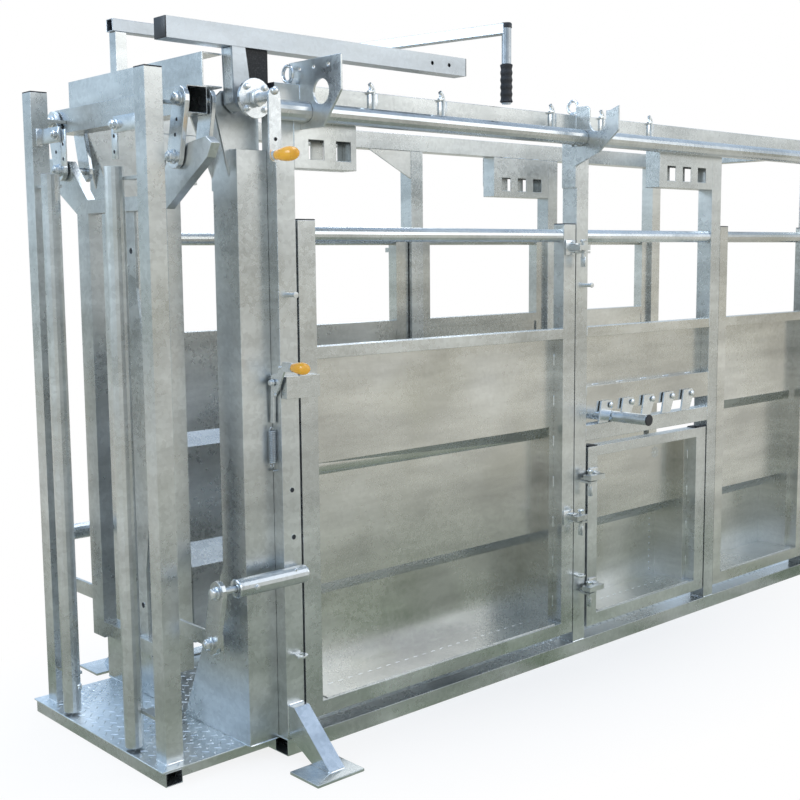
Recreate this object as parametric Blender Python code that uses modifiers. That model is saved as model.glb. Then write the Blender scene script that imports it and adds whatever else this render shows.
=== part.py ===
"""Cattle squeeze chute: a welded side-door crush with a two-leaf head gate, in metres.

+X runs from the head gate to the rear, -Y is the working side, +Z is up, and the origin lies on
the ground under the middle of the chute. Every piece is modelled where it stands; a piece that
moves has its origin on its joint's axis. The far side is the near side mirrored in Y.
"""

import math

import bmesh
import bpy
from mathutils import Matrix, Vector

# ---- Driving dimensions -------------------------------------------------------------------
FRONT = -1.86  # front edge of the floor plate
REAR = 1.825  # rear face of the end posts
HALF_WIDTH = 0.50  # centre plane to the outer face of a side
BEAM_TOP = 2.12
OUTRIGGER_REACH = 0.21

POST = 0.07  # square posts, beams and skids
WALL = 0.003  # wall of every box section and pipe
FRAME_DEPTH = 0.05  # doors and panels, front to back
SHEET = 0.003
BASE_HEIGHT = 0.055
CROSS_HEIGHT = 0.045
FLOOR_THICK = 0.005

GAP = 0.0003  # between pieces that touch
WELD = 0.001  # how far welded pieces run into each other
VENT = 0.001  # how far a hollow runs past its wall

HEAD_POST_X = -1.405  # centres of the four posts of a side
MIDDLE_POST_X = 0.02
REAR_POST_X = 0.935
END_POST_X = REAR - POST / 2

DOOR_BOTTOM = 0.10
DOOR_TOP = 1.71
DOOR_PLAY = 0.008  # door to post on the latch side
HINGE_PLAY = 0.005  # door to post on the hinge side
STILE = 0.069
LOW_RAIL_TOP = 0.148
MID_RAIL = (1.274, 1.313)
PIPE_R = 0.03
DOOR_PIPE_Z = 1.667

HALF_DOOR_TOP = 0.835
COMB = (0.862, 0.924)
LIP = (1.044, 1.078)
UPPER_SHEET_DEPTH = 0.040
BAR_X = 0.217
BAR_R = 0.022
BAR_Z = COMB[1] + GAP + BAR_R  # the bar lies on the comb rails
BAR_REACH = 0.68
PAWL_COUNT = 5
PAWL_PITCH = 0.141
PAWL_X = 0.192  # first pawl's pin
PAWL_Z = 0.995
PAWL_THICK = 0.008

# The sheets step inwards on their way down: heights and depths from the outer plane.
STEP_A = (0.93, 0.88)
STEP_B = (0.51, 0.44)
DEPTH_TOP = 0.045
DEPTH_MIDDLE = 0.095
DEPTH_LOW = 0.195
POCKET_INSET = 0.026

PIN_R = 0.008
PIN_PLAY = 0.001
HINGE_OUT = 0.035  # hinge axis outside the side's outer plane
DOOR_LUG_Z = (0.55, 1.60)
HALF_LUG_Z = (0.25, 0.70)
LUG_THICK = 0.008

COLUMN = ((HEAD_POST_X - POST / 2 - 0.112, HEAD_POST_X - POST / 2 - 0.0006), (HALF_WIDTH - 0.176, HALF_WIDTH - 0.047))  # X span, distance span from the centre plane
COLUMN_TOP = BEAM_TOP - 0.20
CHEEK_THICK = 0.008
GATE_POST = ((-1.822, -1.762), (HALF_WIDTH - 0.168, HALF_WIDTH - 0.108))
GATE_POST_TOP = BEAM_TOP + 0.025
STANCHION = Vector((-1.826, 0.293 - HALF_WIDTH))  # X and Y of the round bar beside the gate post
STANCHION_TOP = BEAM_TOP - 0.25
STANCHION_BRACKET_Z = (0.17, BEAM_TOP - 0.29)
LEAF = (-1.695, -1.645)
LEAF_BOX_Y = (0.216 - HALF_WIDTH, 0.293 - HALF_WIDTH)
LEAF_Z = (0.287, BEAM_TOP - 0.33)
LEAF_BAR = 0.045
LEAF_SPLIT = 0.003  # from the centre plane to a neck plate's straight edge
NECK = (0.30, 0.57, BEAM_TOP - 0.62)  # foot of the neck plate, foot and head of its belly
NECK_WIDTH = 0.052
NECK_BELLY = 0.052
ARM_THICK = 0.03
ARM_PAST_PIVOT = Vector((-0.145, 0.022))
FRONT_LINK = (-1.715, -1.699)
REAR_LINK = (-1.620, -1.606)
LINK_PIN_ENDS = (-1.722, -1.600)
LINK_PIN_R = 0.012
LINK_WIDTH = 0.072
LINK_SWING = Vector((0.040, -0.165))  # from an upper pivot to the lower one, inwards and down
PIVOT_TOP = Vector((0.098 - HALF_WIDTH, BEAM_TOP - 0.06))
PIVOT_LOW = Vector((-HALF_WIDTH - 0.0275, 0.60))
HEADER_HALF = HALF_WIDTH - 0.085
HEADER_X = (-1.695, -1.625)
HEADER_Z = (BEAM_TOP - 0.10, BEAM_TOP - 0.02)
CHANNEL_TOP = BEAM_TOP + 0.08
SHAFT = Vector((-1.54, BEAM_TOP - 0.06))  # X and Z of the head lever's axis
SHAFT_R = 0.015
LEVER_Y = 0.05 - HALF_WIDTH
LEVER_ENDS = (-1.798, -0.60)
LEVER_HOLES_X = (-0.76, -0.68)
LEVER_TUBE = 0.06
LEVER_BOTTOM = BEAM_TOP + 0.0946
CRANK_DROP = 0.17
CRANK_Y = -HALF_WIDTH - 0.1265

CONTROL_Y = (0.10, 0.14)
CONTROL_Z = (BEAM_TOP + 0.21, BEAM_TOP + 0.25)
CONTROL_FRONT = -1.64
ARM_PIVOT = Vector((-0.57, 0.12))
ARM_REACH = HALF_WIDTH + 0.155
ARM_LEAN = math.radians(11.8)
ARM_Z = (CONTROL_Z[1] + GAP, CONTROL_Z[1] + GAP + 0.035)
GRIP_TUBE_R = 0.017
GRIP_LOW = BEAM_TOP + 0.008  # lower end of the hand tube, clear above the near beam

LATCH_X = (HEAD_POST_X - POST / 2 - 0.013, HEAD_POST_X - POST / 2 - 0.005)
LATCH_PIN = Vector((0.020 - HALF_WIDTH, 1.21))
LATCH_KNOB = Vector((-HALF_WIDTH - 0.065, 1.262))
KEEPER_Z = (1.16, 1.23)
SPRING_Y = 0.031 - HALF_WIDTH
SPRING_Z = (0.93, 1.075)  # the stud on the post and the lever's tail

BRACKET_THICK = 0.008
BOX_HEIGHT = 0.182
BOX_SILL = 0.029
BOX_HOLE = 0.06
BOX_WALL = 0.004
FRONT_BOX = 0.25
FRONT_BOX_HOLES = (0.087, 0.197)
REAR_BOX = 0.385
REAR_BOX_HOLES = (0.085, 0.195, 0.305)

POLE = Vector((-HALF_WIDTH - 0.103, BEAM_TOP - 0.03))  # Y and Z of the pole that the two brackets hold
POLE_R = 0.038
ROUND_RAIL = Vector((-HALF_WIDTH - 0.032, BEAM_TOP - 0.085))

SIDE_Y = (-HALF_WIDTH, -HALF_WIDTH + POST)
FRAME_Y = (-HALF_WIDTH, -HALF_WIDTH + FRAME_DEPTH)
FLOOR_TOP = CROSS_HEIGHT + GAP + FLOOR_THICK
BEAM_Z = (BEAM_TOP - POST, BEAM_TOP)
POST_Z = (BASE_HEIGHT + GAP, BEAM_Z[0] - GAP)
PIPE_Y = -HALF_WIDTH + FRAME_DEPTH / 2
HINGE_Y = -HALF_WIDTH - HINGE_OUT
DOOR_HINGE_X = MIDDLE_POST_X - POST / 2
HALF_HINGE_X = MIDDLE_POST_X + POST / 2 - 0.015
DOOR_X = (HEAD_POST_X + POST / 2 + DOOR_PLAY, DOOR_HINGE_X - HINGE_PLAY)
HALF_DOOR_X = (MIDDLE_POST_X + POST / 2 + 0.015, REAR_POST_X - POST / 2 - 0.010)
BAY_X = (MIDDLE_POST_X + POST / 2 + GAP, REAR_POST_X - POST / 2 - GAP)
REAR_BAY_X = (REAR_POST_X + POST / 2 + GAP, END_POST_X - POST / 2)


# ---- Modelling helpers ----------------------------------------------------------------------
def new_object(name, mesh):
    made = bpy.data.objects.new(name, mesh)
    bpy.context.scene.collection.objects.link(made)
    return made


def from_bmesh(name, shape):
    mesh = bpy.data.meshes.new(name)
    shape.to_mesh(mesh)
    shape.free()
    return new_object(name, mesh)


def block(span_x, span_y, span_z):
    """A box between three (low, high) spans."""
    spans = (span_x, span_y, span_z)
    size = [high - low for low, high in spans]
    middle = [(high + low) / 2 for low, high in spans]
    shape = bmesh.new()
    place = Matrix.Translation(middle) @ Matrix.Diagonal((*size, 1))
    bmesh.ops.create_cube(shape, size=1, matrix=place)
    return from_bmesh("block", shape)


def rod(axis, centre, radius, span, sides=16):
    """A cylinder along axis "X", "Y" or "Z"; centre holds its two other coordinates in order."""
    middle = list(centre)
    middle.insert("XYZ".index(axis), sum(span) / 2)
    turn = {"X": ("Y", 90), "Y": ("X", -90), "Z": ("Z", 0)}[axis]
    place = Matrix.Translation(middle) @ Matrix.Rotation(math.radians(turn[1]), 4, turn[0])
    shape = bmesh.new()
    bmesh.ops.create_cone(
        shape,
        cap_ends=True,
        segments=sides,
        radius1=radius,
        radius2=radius,
        depth=span[1] - span[0],
        matrix=place,
    )
    return from_bmesh("rod", shape)


def as_mesh(curve_object):
    """The curve's solid as a mesh object, with its loose caps welded on."""
    graph = bpy.context.evaluated_depsgraph_get()
    mesh = bpy.data.meshes.new_from_object(curve_object.evaluated_get(graph))
    shape = bmesh.new()
    shape.from_mesh(mesh)
    bmesh.ops.remove_doubles(shape, verts=shape.verts, dist=1e-6)
    bmesh.ops.transform(shape, matrix=curve_object.matrix_world, verts=shape.verts)
    bmesh.ops.recalc_face_normals(shape, faces=shape.faces)
    bpy.data.objects.remove(curve_object)
    return from_bmesh("solid", shape)


def plate(outline, axis, span):
    """A flat outline with a thickness along axis: (y, z) points for X, (x, z) for Y, (x, y) for Z."""
    curve = bpy.data.curves.new("outline", "CURVE")
    curve.dimensions = "2D"
    curve.fill_mode = "BOTH"
    curve.extrude = (span[1] - span[0]) / 2
    spline = curve.splines.new("POLY")
    spline.points.add(len(outline) - 1)
    for point, (u, v) in zip(spline.points, outline):
        point.co = (u, v, 0, 1)
    spline.use_cyclic_u = True
    columns = {"X": ("Y", "Z", "X"), "Y": ("X", "Z", "-Y"), "Z": ("X", "Y", "Z")}[axis]
    place = Matrix.Identity(4)
    for column, letter in enumerate(columns):
        direction = Vector([float(name == letter[-1]) for name in "XYZ"])
        if letter[0] == "-":
            direction.negate()
        for row in range(3):
            place[row][column] = direction[row]
    place["XYZ".index(axis)][3] = sum(span) / 2
    solid = new_object("outline", curve)
    solid.matrix_world = place
    bpy.context.view_layer.update()
    return as_mesh(solid)


def combine(operation, body, others):
    """One mesh from body and the others, with a Boolean union or difference."""
    group = bpy.data.collections.new("operands")
    for other in others:
        group.objects.link(other)
    modifier = body.modifiers.new(operation, "BOOLEAN")
    modifier.operation = operation
    modifier.operand_type = "COLLECTION"
    modifier.collection = group
    modifier.solver = "EXACT"
    graph = bpy.context.evaluated_depsgraph_get()
    mesh = bpy.data.meshes.new_from_object(body.evaluated_get(graph))
    body.modifiers.clear()
    body.data = mesh
    for other in others:
        bpy.data.objects.remove(other)
    bpy.data.collections.remove(group)
    return body


def join(first, *others):
    return combine("UNION", first, list(others)) if others else first


def cut(body, *cutters):
    return combine("DIFFERENCE", body, list(cutters))


def section(along, span_x, span_y, span_z):
    """A box section as (outer block, hollow): the hollow runs out through both ends."""
    spans = (span_x, span_y, span_z)
    hollow = [
        (low - WALL - VENT, high + WALL + VENT) if axis == along else (low + WALL, high - WALL)
        for axis, (low, high) in zip("XYZ", spans)
    ]
    return block(*spans), block(*hollow)


def pipe(axis, centre, radius, span):
    """A round pipe as (outer rod, hollow)."""
    hollow = (span[0] - WALL - VENT, span[1] + WALL + VENT)
    return rod(axis, centre, radius, span), rod(axis, centre, radius - WALL, hollow)


def weld(tubes, *extras):
    """Tubes welded into one hollow frame, with solid pieces welded on outside."""
    outers = [outer for outer, _ in tubes]
    frame = join(*outers)
    frame = cut(frame, *[hollow for _, hollow in tubes])
    return join(frame, *extras)


def mirrored(source):
    """The source turned into its twin on the other side of the chute."""
    source.data.transform(Matrix.Scale(-1, 4, (0, 1, 0)))
    source.data.flip_normals()
    return source


def near_and_far(make):
    """The piece that make() returns, and its mirror image."""
    return make(), mirrored(make())


def strip(points, thickness):
    """Outline of a folded sheet of even thickness whose mid-line runs through points."""
    sides = ([], [])
    for index, point in enumerate(points):
        before = point - points[index - 1] if index else points[1] - point
        after = points[index + 1] - point if index + 1 < len(points) else before
        before, after = before.normalized(), after.normalized()
        normal = Vector((-(before + after).y, (before + after).x)).normalized()
        reach = thickness / 2 / normal.dot(Vector((-before.y, before.x)))
        sides[0].append(point + normal * reach)
        sides[1].append(point - normal * reach)
    return sides[0] + sides[1][::-1]


def rounded_bar(first, second, width, steps=6):
    """Outline of a flat bar with round ends about two centres."""
    along = (second - first).normalized()
    start = math.atan2(along.y, along.x) + math.pi / 2
    outline = []
    for centre, turn in ((first, start), (second, start + math.pi)):
        for step in range(steps + 1):
            angle = turn + math.pi * step / steps
            outline.append(centre + Vector((math.cos(angle), math.sin(angle))) * width / 2)
    return outline


# ---- Finishes and placing ---------------------------------------------------------------------
def finish(name, colour, roughness, metallic):
    material = bpy.data.materials.new(name)
    material.use_nodes = True
    shader = material.node_tree.nodes["Principled BSDF"]
    shader.inputs["Base Color"].default_value = (*colour, 1)
    shader.inputs["Roughness"].default_value = roughness
    shader.inputs["Metallic"].default_value = metallic
    return material


def place(name, piece, material, origin=(0, 0, 0)):
    """Names the finished piece, gives it its material and sets its origin."""
    origin = Vector(origin)
    piece.name = name
    piece.data.name = name
    piece.data.transform(Matrix.Translation(-origin))
    piece.location = origin
    piece.data.materials.clear()
    piece.data.materials.append(material)
    piece.data.set_sharp_from_angle(angle=math.radians(35))
    bpy.context.scene.collection.objects.unlink(piece)
    parts.objects.link(piece)


def place_pair(base, pieces, material, origin=(0, 0, 0)):
    """Places near_BASE and far_BASE; origin is the near one's."""
    x, y, z = origin
    place("near_" + base, pieces[0], material, origin)
    place("far_" + base, pieces[1], material, (x, -y, z))


# ---- Base ---------------------------------------------------------------------------------
def base_frame():
    inner = HALF_WIDTH - POST + WELD
    rail_front = HEAD_POST_X - POST / 2
    runner = GATE_POST[1]
    front_cross = (FRONT + 0.01, FRONT + 0.07)
    cross_spans = [front_cross] + [
        (x - POST / 2, x + POST / 2)
        for x in (HEAD_POST_X, -0.70, MIDDLE_POST_X, REAR_POST_X, END_POST_X)
    ]
    tubes = [
        section("X", (rail_front, REAR), SIDE_Y, (0, BASE_HEIGHT)),
        section("X", (rail_front, REAR), (SIDE_Y[1] * -1, HALF_WIDTH), (0, BASE_HEIGHT)),
    ]
    for span in cross_spans:
        tubes.append(section("Y", span, (-inner, inner), (0, CROSS_HEIGHT)))
    for low, high in (runner, (-runner[1], -runner[0])):
        ahead = (front_cross[1] - WELD, rail_front + WELD)
        tubes.append(section("X", ahead, (low, high), (0, CROSS_HEIGHT)))
    return weld(tubes)


def floor_plate():
    half = HALF_WIDTH - POST - GAP
    return block((FRONT, REAR), (-half, half), (CROSS_HEIGHT + GAP, FLOOR_TOP))


def outrigger():
    """Inclined channel leg and its ground plate, on the outer face beside the head post."""
    leg_x = (HEAD_POST_X - 0.03, HEAD_POST_X + 0.03)
    face = -HALF_WIDTH - GAP
    toe, heel = face - OUTRIGGER_REACH, face - OUTRIGGER_REACH + 0.09
    leg = [(face, 0.07), (face, 0.17), (face - 0.03, 0.17), (toe, 0.009), (heel, 0.009)]
    inside = [(face + 0.01, 0.045), (face + 0.01, 0.15), (face - 0.025, 0.16)]
    inside += [(toe + 0.01, 0), (heel + 0.01, 0)]
    inner_x = (leg_x[0] + 0.005, leg_x[1] - 0.005)
    leg_piece = cut(plate(leg, "X", leg_x), plate(inside, "X", inner_x))
    foot_x = (leg_x[0] - 0.083, leg_x[1] + 0.042)
    foot = block(foot_x, (toe - 0.042, heel + 0.008), (0, 0.01))
    return join(leg_piece, foot)


# ---- Sides --------------------------------------------------------------------------------
def post(centre_x, *extras):
    span_x = (centre_x - POST / 2, centre_x + POST / 2)
    return weld([section("Z", span_x, SIDE_Y, POST_Z)], *extras)


def hinge_lug(x, low):
    """A lug welded to the post's outer face, with its pin standing on it."""
    span_z = (low, low + LUG_THICK)
    eye = block((x - 0.018, x + 0.018), (HINGE_Y - 0.02, -HALF_WIDTH - 0.007), span_z)
    on_post = (max(x - 0.018, MIDDLE_POST_X - POST / 2), min(x + 0.018, MIDDLE_POST_X + POST / 2))
    root = block(on_post, (HINGE_Y - 0.02, -HALF_WIDTH + WELD), span_z)
    pin = rod("Z", (x, HINGE_Y), PIN_R, (low + WELD, low + 0.05), 12)
    return join(eye, root, pin)


def knuckle(x, low, stile_x, toward):
    """A knuckle on the door's stile that sits over the pin; toward is the stile's direction in X."""
    reach = sorted((x - toward * 0.018, stile_x + toward * 0.04))
    root = sorted((stile_x + toward * 0.005, stile_x + toward * 0.04))
    span_z = (low + LUG_THICK + 0.004, low + LUG_THICK + 0.024)
    eye = block(reach, (HINGE_Y - 0.02, HINGE_Y + 0.02), span_z)
    leaf = block(root, (HINGE_Y - 0.02, -HALF_WIDTH + WELD), span_z)
    bore = rod("Z", (x, HINGE_Y), PIN_R + PIN_PLAY, (low, low + 0.06), 12)
    return cut(join(eye, leaf), bore)


def head_post():
    """Head post with the sleeve that carries the head gate's lower shaft."""
    centre = tuple(PIVOT_LOW)
    sleeve_r = -HALF_WIDTH - PIVOT_LOW.x
    span = (LEAF[1] + 0.005, HEAD_POST_X + POST / 2 - 0.015)
    sleeve = rod("X", centre, sleeve_r + WELD, span)
    body = post(HEAD_POST_X, sleeve)
    return cut(body, rod("X", centre, LINK_PIN_R + PIN_PLAY, (span[0] - 0.01, span[1] + 0.01), 12))


def near_head_post():
    pin = rod("X", LATCH_PIN, PIN_R, (LATCH_X[0] - 0.004, HEAD_POST_X - POST / 2 + WELD), 12)
    spring_stud = rod("X", (SPRING_Y, SPRING_Z[0]), 0.004, (LATCH_X[0], HEAD_POST_X - POST / 2 + WELD), 8)
    return join(head_post(), pin, spring_stud)


def middle_post():
    lugs = [hinge_lug(DOOR_HINGE_X, low) for low in DOOR_LUG_Z]
    lugs += [hinge_lug(HALF_HINGE_X, low) for low in HALF_LUG_Z]
    return post(MIDDLE_POST_X, *lugs)


def far_middle_post():
    return mirrored(post(MIDDLE_POST_X, *[hinge_lug(DOOR_HINGE_X, low) for low in DOOR_LUG_Z]))


def top_beam():
    return weld([section("X", (HEAD_POST_X - POST / 2, REAR), SIDE_Y, BEAM_Z)])


def rear_cross_beam():
    inner = HALF_WIDTH - POST - GAP
    return weld([section("Y", (END_POST_X - POST / 2, REAR), (-inner, inner), BEAM_Z)])


def round_rail():
    return weld([pipe("X", ROUND_RAIL, PIPE_R, (HEAD_POST_X - POST / 2 - 0.03, REAR))])


def rail_slot(span):
    """Cutter for the round rail where it crosses a bracket, open towards the beam."""
    radius = PIPE_R + PIN_PLAY
    hole = rod("X", ROUND_RAIL, radius, span)
    mouth = block(span, (ROUND_RAIL.x, -HALF_WIDTH + 0.02), (ROUND_RAIL.y - radius, ROUND_RAIL.y + radius))
    return join(hole, mouth)


def front_pole_bracket():
    """Plate across the beam with the pole's round hole and three small ones."""
    x = HEAD_POST_X + 0.065
    span = (x - BRACKET_THICK / 2, x + BRACKET_THICK / 2)
    longer = (span[0] - 0.01, span[1] + 0.01)
    side = -HALF_WIDTH - GAP
    over = BEAM_TOP + GAP
    outline = [
        (side, BEAM_TOP - 0.135),
        (side, over),
        (side + 0.0533, over),
        (side + 0.0533, over + 0.0697),
        (side - 0.1967, over + 0.0697),
        (side - 0.1967, BEAM_TOP - 0.035),
        (side - 0.1097, BEAM_TOP - 0.135),
    ]
    holes = [
        rod("X", (-HALF_WIDTH - along, BEAM_TOP + 0.046), 0.006, longer, 8) for along in (0, 0.07, 0.14)
    ]
    pole_hole = rod("X", POLE, POLE_R, longer, 20)
    return cut(plate(outline, "X", span), rail_slot(longer), pole_hole, *holes)


def rear_pole_bracket():
    """Plate on the middle post's front face with an open notch for the pole."""
    face = MIDDLE_POST_X - POST / 2 - GAP
    span = (face - BRACKET_THICK, face)
    longer = (span[0] - 0.01, span[1] + 0.01)
    side = -HALF_WIDTH - GAP
    outline = [
        (SIDE_Y[1] - 0.002, BEAM_TOP - 0.27),
        (SIDE_Y[1] - 0.002, BEAM_Z[0] - GAP),
        (side, BEAM_Z[0] - GAP),
        (side, BEAM_TOP + 0.03),
        (side - 0.0497, BEAM_TOP + 0.03),
        (side - 0.0797, BEAM_TOP + 0.005),
        (side - 0.1597, BEAM_TOP + 0.005),
        (side - 0.1997, BEAM_TOP + 0.02),
        (side - 0.1997, BEAM_TOP - 0.07),
        (side - 0.1097, BEAM_TOP - 0.145),
        (side, BEAM_TOP - 0.19),
        (side, BEAM_TOP - 0.27),
    ]
    notch = join(
        rod("X", POLE, POLE_R, longer, 20),
        block(longer, (POLE.x - POLE_R, POLE.x + POLE_R), (POLE.y, POLE.y + 0.11)),
    )
    return cut(plate(outline, "X", span), rail_slot(longer), notch)


def bar_box(start, length, holes):
    """Open-topped box under the beam with square holes through both faces for a cross bar.

    holes holds their distances from the box's front end.
    """
    span_z = (BEAM_Z[0] - BOX_HEIGHT, BEAM_Z[0] - GAP)
    outer = block((start, start + length), SIDE_Y, span_z)
    inner = block(
        (start + BOX_WALL, start + length - BOX_WALL),
        (SIDE_Y[0] + BOX_WALL, SIDE_Y[1] - BOX_WALL),
        (span_z[0] + BOX_WALL, span_z[1] + 0.01),
    )
    across = (SIDE_Y[0] - 0.01, SIDE_Y[1] + 0.01)
    hole_z = (span_z[0] + BOX_SILL, span_z[0] + BOX_SILL + BOX_HOLE)
    centres = [start + along for along in holes]
    cutters = [block((x - BOX_HOLE / 2, x + BOX_HOLE / 2), across, hole_z) for x in centres]
    return cut(outer, inner, *cutters)


def front_box():
    return bar_box(HEAD_POST_X + POST / 2 + GAP, FRONT_BOX, FRONT_BOX_HOLES)


def rear_box():
    return bar_box(REAR_POST_X - POST / 2 - REAR_BOX, REAR_BOX - GAP, REAR_BOX_HOLES)


# ---- Stepped sheets and frames ----------------------------------------------------------------
def depth(amount):
    return -HALF_WIDTH + amount


def stepped_sheet(span_x, top, ledge):
    """A folded sheet that leans into the chute in two steps, closed by an end plate on each side.

    With a ledge the sheet starts at its middle depth right under the top rail.
    """
    low = LOW_RAIL_TOP + GAP
    mid_line = [Vector((depth(DEPTH_TOP) + SHEET / 2, STEP_A[0])), Vector((depth(DEPTH_MIDDLE), STEP_A[1]))]
    if ledge:
        height = top - SHEET / 2
        mid_line = [Vector((depth(DEPTH_TOP) + SHEET / 2, height)), Vector((depth(DEPTH_MIDDLE), height))]
    mid_line += [
        Vector((depth(DEPTH_MIDDLE), STEP_B[0])),
        Vector((depth(DEPTH_LOW), STEP_B[1])),
        Vector((depth(DEPTH_LOW), low + SHEET / 2)),
        Vector((depth(0.01), low + SHEET / 2)),
    ]
    pocket = (span_x[0] + POCKET_INSET, span_x[1] - POCKET_INSET)
    folded = plate(strip(mid_line, SHEET), "X", pocket)
    end_shape = [tuple(point) for point in mid_line[:-1]] + [(depth(DEPTH_TOP), low + SHEET / 2)]
    ends = [
        plate(end_shape, "X", (pocket[0] - SHEET + WELD, pocket[0] + WELD)),
        plate(end_shape, "X", (pocket[1] - WELD, pocket[1] + SHEET - WELD)),
    ]
    face = block(span_x, (depth(DEPTH_TOP), depth(DEPTH_TOP) + SHEET), (low, top))
    window_top = top - SHEET if ledge else STEP_A[0]
    window = block(
        pocket,
        (depth(DEPTH_TOP) - 0.01, depth(DEPTH_TOP) + SHEET + 0.01),
        (low + SHEET, window_top),
    )
    return join(cut(face, window), folded, *ends)


def stile(span_x, top):
    return section("Z", span_x, FRAME_Y, (DOOR_BOTTOM, top))


def rail(span_x, span_z):
    return section("X", (span_x[0] - WELD, span_x[1] + WELD), FRAME_Y, span_z)


def top_pipe(span_x):
    return pipe("X", (PIPE_Y, DOOR_PIPE_Z), PIPE_R * 0.8, (span_x[0] - WELD, span_x[1] + WELD))


def door_inside():
    return (DOOR_X[0] + STILE, DOOR_X[1] - STILE)


def door_frame(*extras):
    inside = door_inside()
    tubes = [
        stile((DOOR_X[0], inside[0]), DOOR_TOP),
        stile((inside[1], DOOR_X[1]), DOOR_TOP),
        rail(inside, (DOOR_BOTTOM, LOW_RAIL_TOP)),
        rail(inside, MID_RAIL),
        top_pipe(inside),
    ]
    knuckles = [knuckle(DOOR_HINGE_X, low, DOOR_X[1], -1) for low in DOOR_LUG_Z]
    return weld(tubes, *knuckles, *extras)


def latch_keeper():
    """The catch on the door's free stile, reaching over the head post."""
    back = DOOR_X[0] + 0.055
    outer = -HALF_WIDTH - 0.03
    reach = block((HEAD_POST_X - POST / 2 + 0.0015, back), (outer, -HALF_WIDTH - 0.003), KEEPER_Z)
    root = block((DOOR_X[0] + 0.006, back), (outer, -HALF_WIDTH + WELD), KEEPER_Z)
    return join(reach, root)


def near_door_panel():
    inside = door_inside()
    return stepped_sheet((inside[0] + GAP, inside[1] - GAP), MID_RAIL[0] - GAP, False)


def far_door():
    inside = door_inside()
    sheet = stepped_sheet((inside[0] - WELD, inside[1] + WELD), MID_RAIL[0] + WELD, False)
    return mirrored(door_frame(latch_keeper(), sheet))


def half_door_inside():
    return (HALF_DOOR_X[0] + 0.06, HALF_DOOR_X[1] - 0.07)


def half_door_frame():
    inside = half_door_inside()
    tubes = [
        stile((HALF_DOOR_X[0], inside[0]), HALF_DOOR_TOP),
        stile((inside[1], HALF_DOOR_X[1]), HALF_DOOR_TOP),
        rail(inside, (DOOR_BOTTOM, LOW_RAIL_TOP)),
        rail(inside, (HALF_DOOR_TOP - 0.04, HALF_DOOR_TOP)),
    ]
    return weld(tubes, *[knuckle(HALF_HINGE_X, low, HALF_DOOR_X[0], 1) for low in HALF_LUG_Z])


def half_door_panel():
    inside = half_door_inside()
    return stepped_sheet((inside[0] + GAP, inside[1] - GAP), HALF_DOOR_TOP - 0.04 - GAP, True)


def far_middle_panel():
    """One fixed frame between the far posts: lower sheet, gap for the bar, upper sheet, top pipe."""
    inside = (BAY_X[0] + 0.06, BAY_X[1] - 0.06)
    tubes = [
        stile((BAY_X[0], inside[0]), DOOR_TOP),
        stile((inside[1], BAY_X[1]), DOOR_TOP),
        rail(inside, (DOOR_BOTTOM, LOW_RAIL_TOP)),
        rail(inside, COMB),
        rail(inside, LIP),
        rail(inside, MID_RAIL),
        top_pipe(inside),
    ]
    span = (inside[0] - WELD, inside[1] + WELD)
    upper = block(
        span,
        (depth(UPPER_SHEET_DEPTH), depth(UPPER_SHEET_DEPTH) + SHEET),
        (LIP[1] - WELD, MID_RAIL[0] + WELD),
    )
    return mirrored(weld(tubes, upper, stepped_sheet(span, COMB[0] + WELD, True)))


def rear_panel():
    """The last bay's fixed frame with its end post."""
    inside = (REAR_BAY_X[0] + 0.06, REAR_BAY_X[1] - 0.06)
    end_post = section("Z", (REAR_BAY_X[1], REAR), SIDE_Y, POST_Z)
    tubes = [
        stile((REAR_BAY_X[0], inside[0]), DOOR_TOP),
        stile((inside[1], REAR_BAY_X[1] + WELD), DOOR_TOP),
        rail(inside, (DOOR_BOTTOM, LOW_RAIL_TOP)),
        rail(inside, MID_RAIL),
        top_pipe(inside),
        end_post,
    ]
    span = (inside[0] - WELD, inside[1] + WELD)
    return weld(tubes, stepped_sheet(span, MID_RAIL[0] + WELD, False))


# ---- Anti-back bar --------------------------------------------------------------------------
def pawl_pin_x(index):
    return PAWL_X + PAWL_PITCH * index


def near_upper_panel():
    sheet = block(
        BAY_X,
        (depth(UPPER_SHEET_DEPTH), depth(UPPER_SHEET_DEPTH) + SHEET),
        (LIP[1] - WELD, MID_RAIL[0] + WELD),
    )
    pawl_strip = block(BAY_X, (-HALF_WIDTH, -HALF_WIDTH + 0.006), (BAR_Z + BAR_R + 0.003, LIP[0] + WELD))
    pins = [
        rod("Y", (pawl_pin_x(index), PAWL_Z), 0.006, (-HALF_WIDTH - 0.016, -HALF_WIDTH + WELD), 10)
        for index in range(PAWL_COUNT)
    ]
    tubes = [section("X", BAY_X, FRAME_Y, MID_RAIL), section("X", BAY_X, FRAME_Y, LIP)]
    frame = weld(tubes, sheet)
    return join(frame, pawl_strip, *pins)


def near_upper_rail():
    return weld([pipe("X", (PIPE_Y, DOOR_PIPE_Z), PIPE_R * 0.8, BAY_X)])


def near_comb_rail():
    return weld([section("X", BAY_X, FRAME_Y, COMB)])


def anti_back_bar():
    return weld([pipe("Y", (BAR_X, BAR_Z), BAR_R, (-BAR_REACH, BAR_REACH))])


def pawl(index):
    """A slanted plate hung from its pin: the bar lifts it on the way forward and it drops behind."""
    x = pawl_pin_x(index)
    offsets = [(-0.055, 0.019), (0.012, 0.019), (0.012, -0.012), (-0.012, -0.068), (-0.073, -0.068)]
    outline = [(x + dx, PAWL_Z + dz) for dx, dz in offsets]
    outer = -HALF_WIDTH - 0.004
    body = plate(outline, "Y", (outer - PAWL_THICK, outer))
    return cut(body, rod("Y", (x, PAWL_Z), 0.006 + PIN_PLAY, (outer - 0.02, outer + 0.01), 10))


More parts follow.
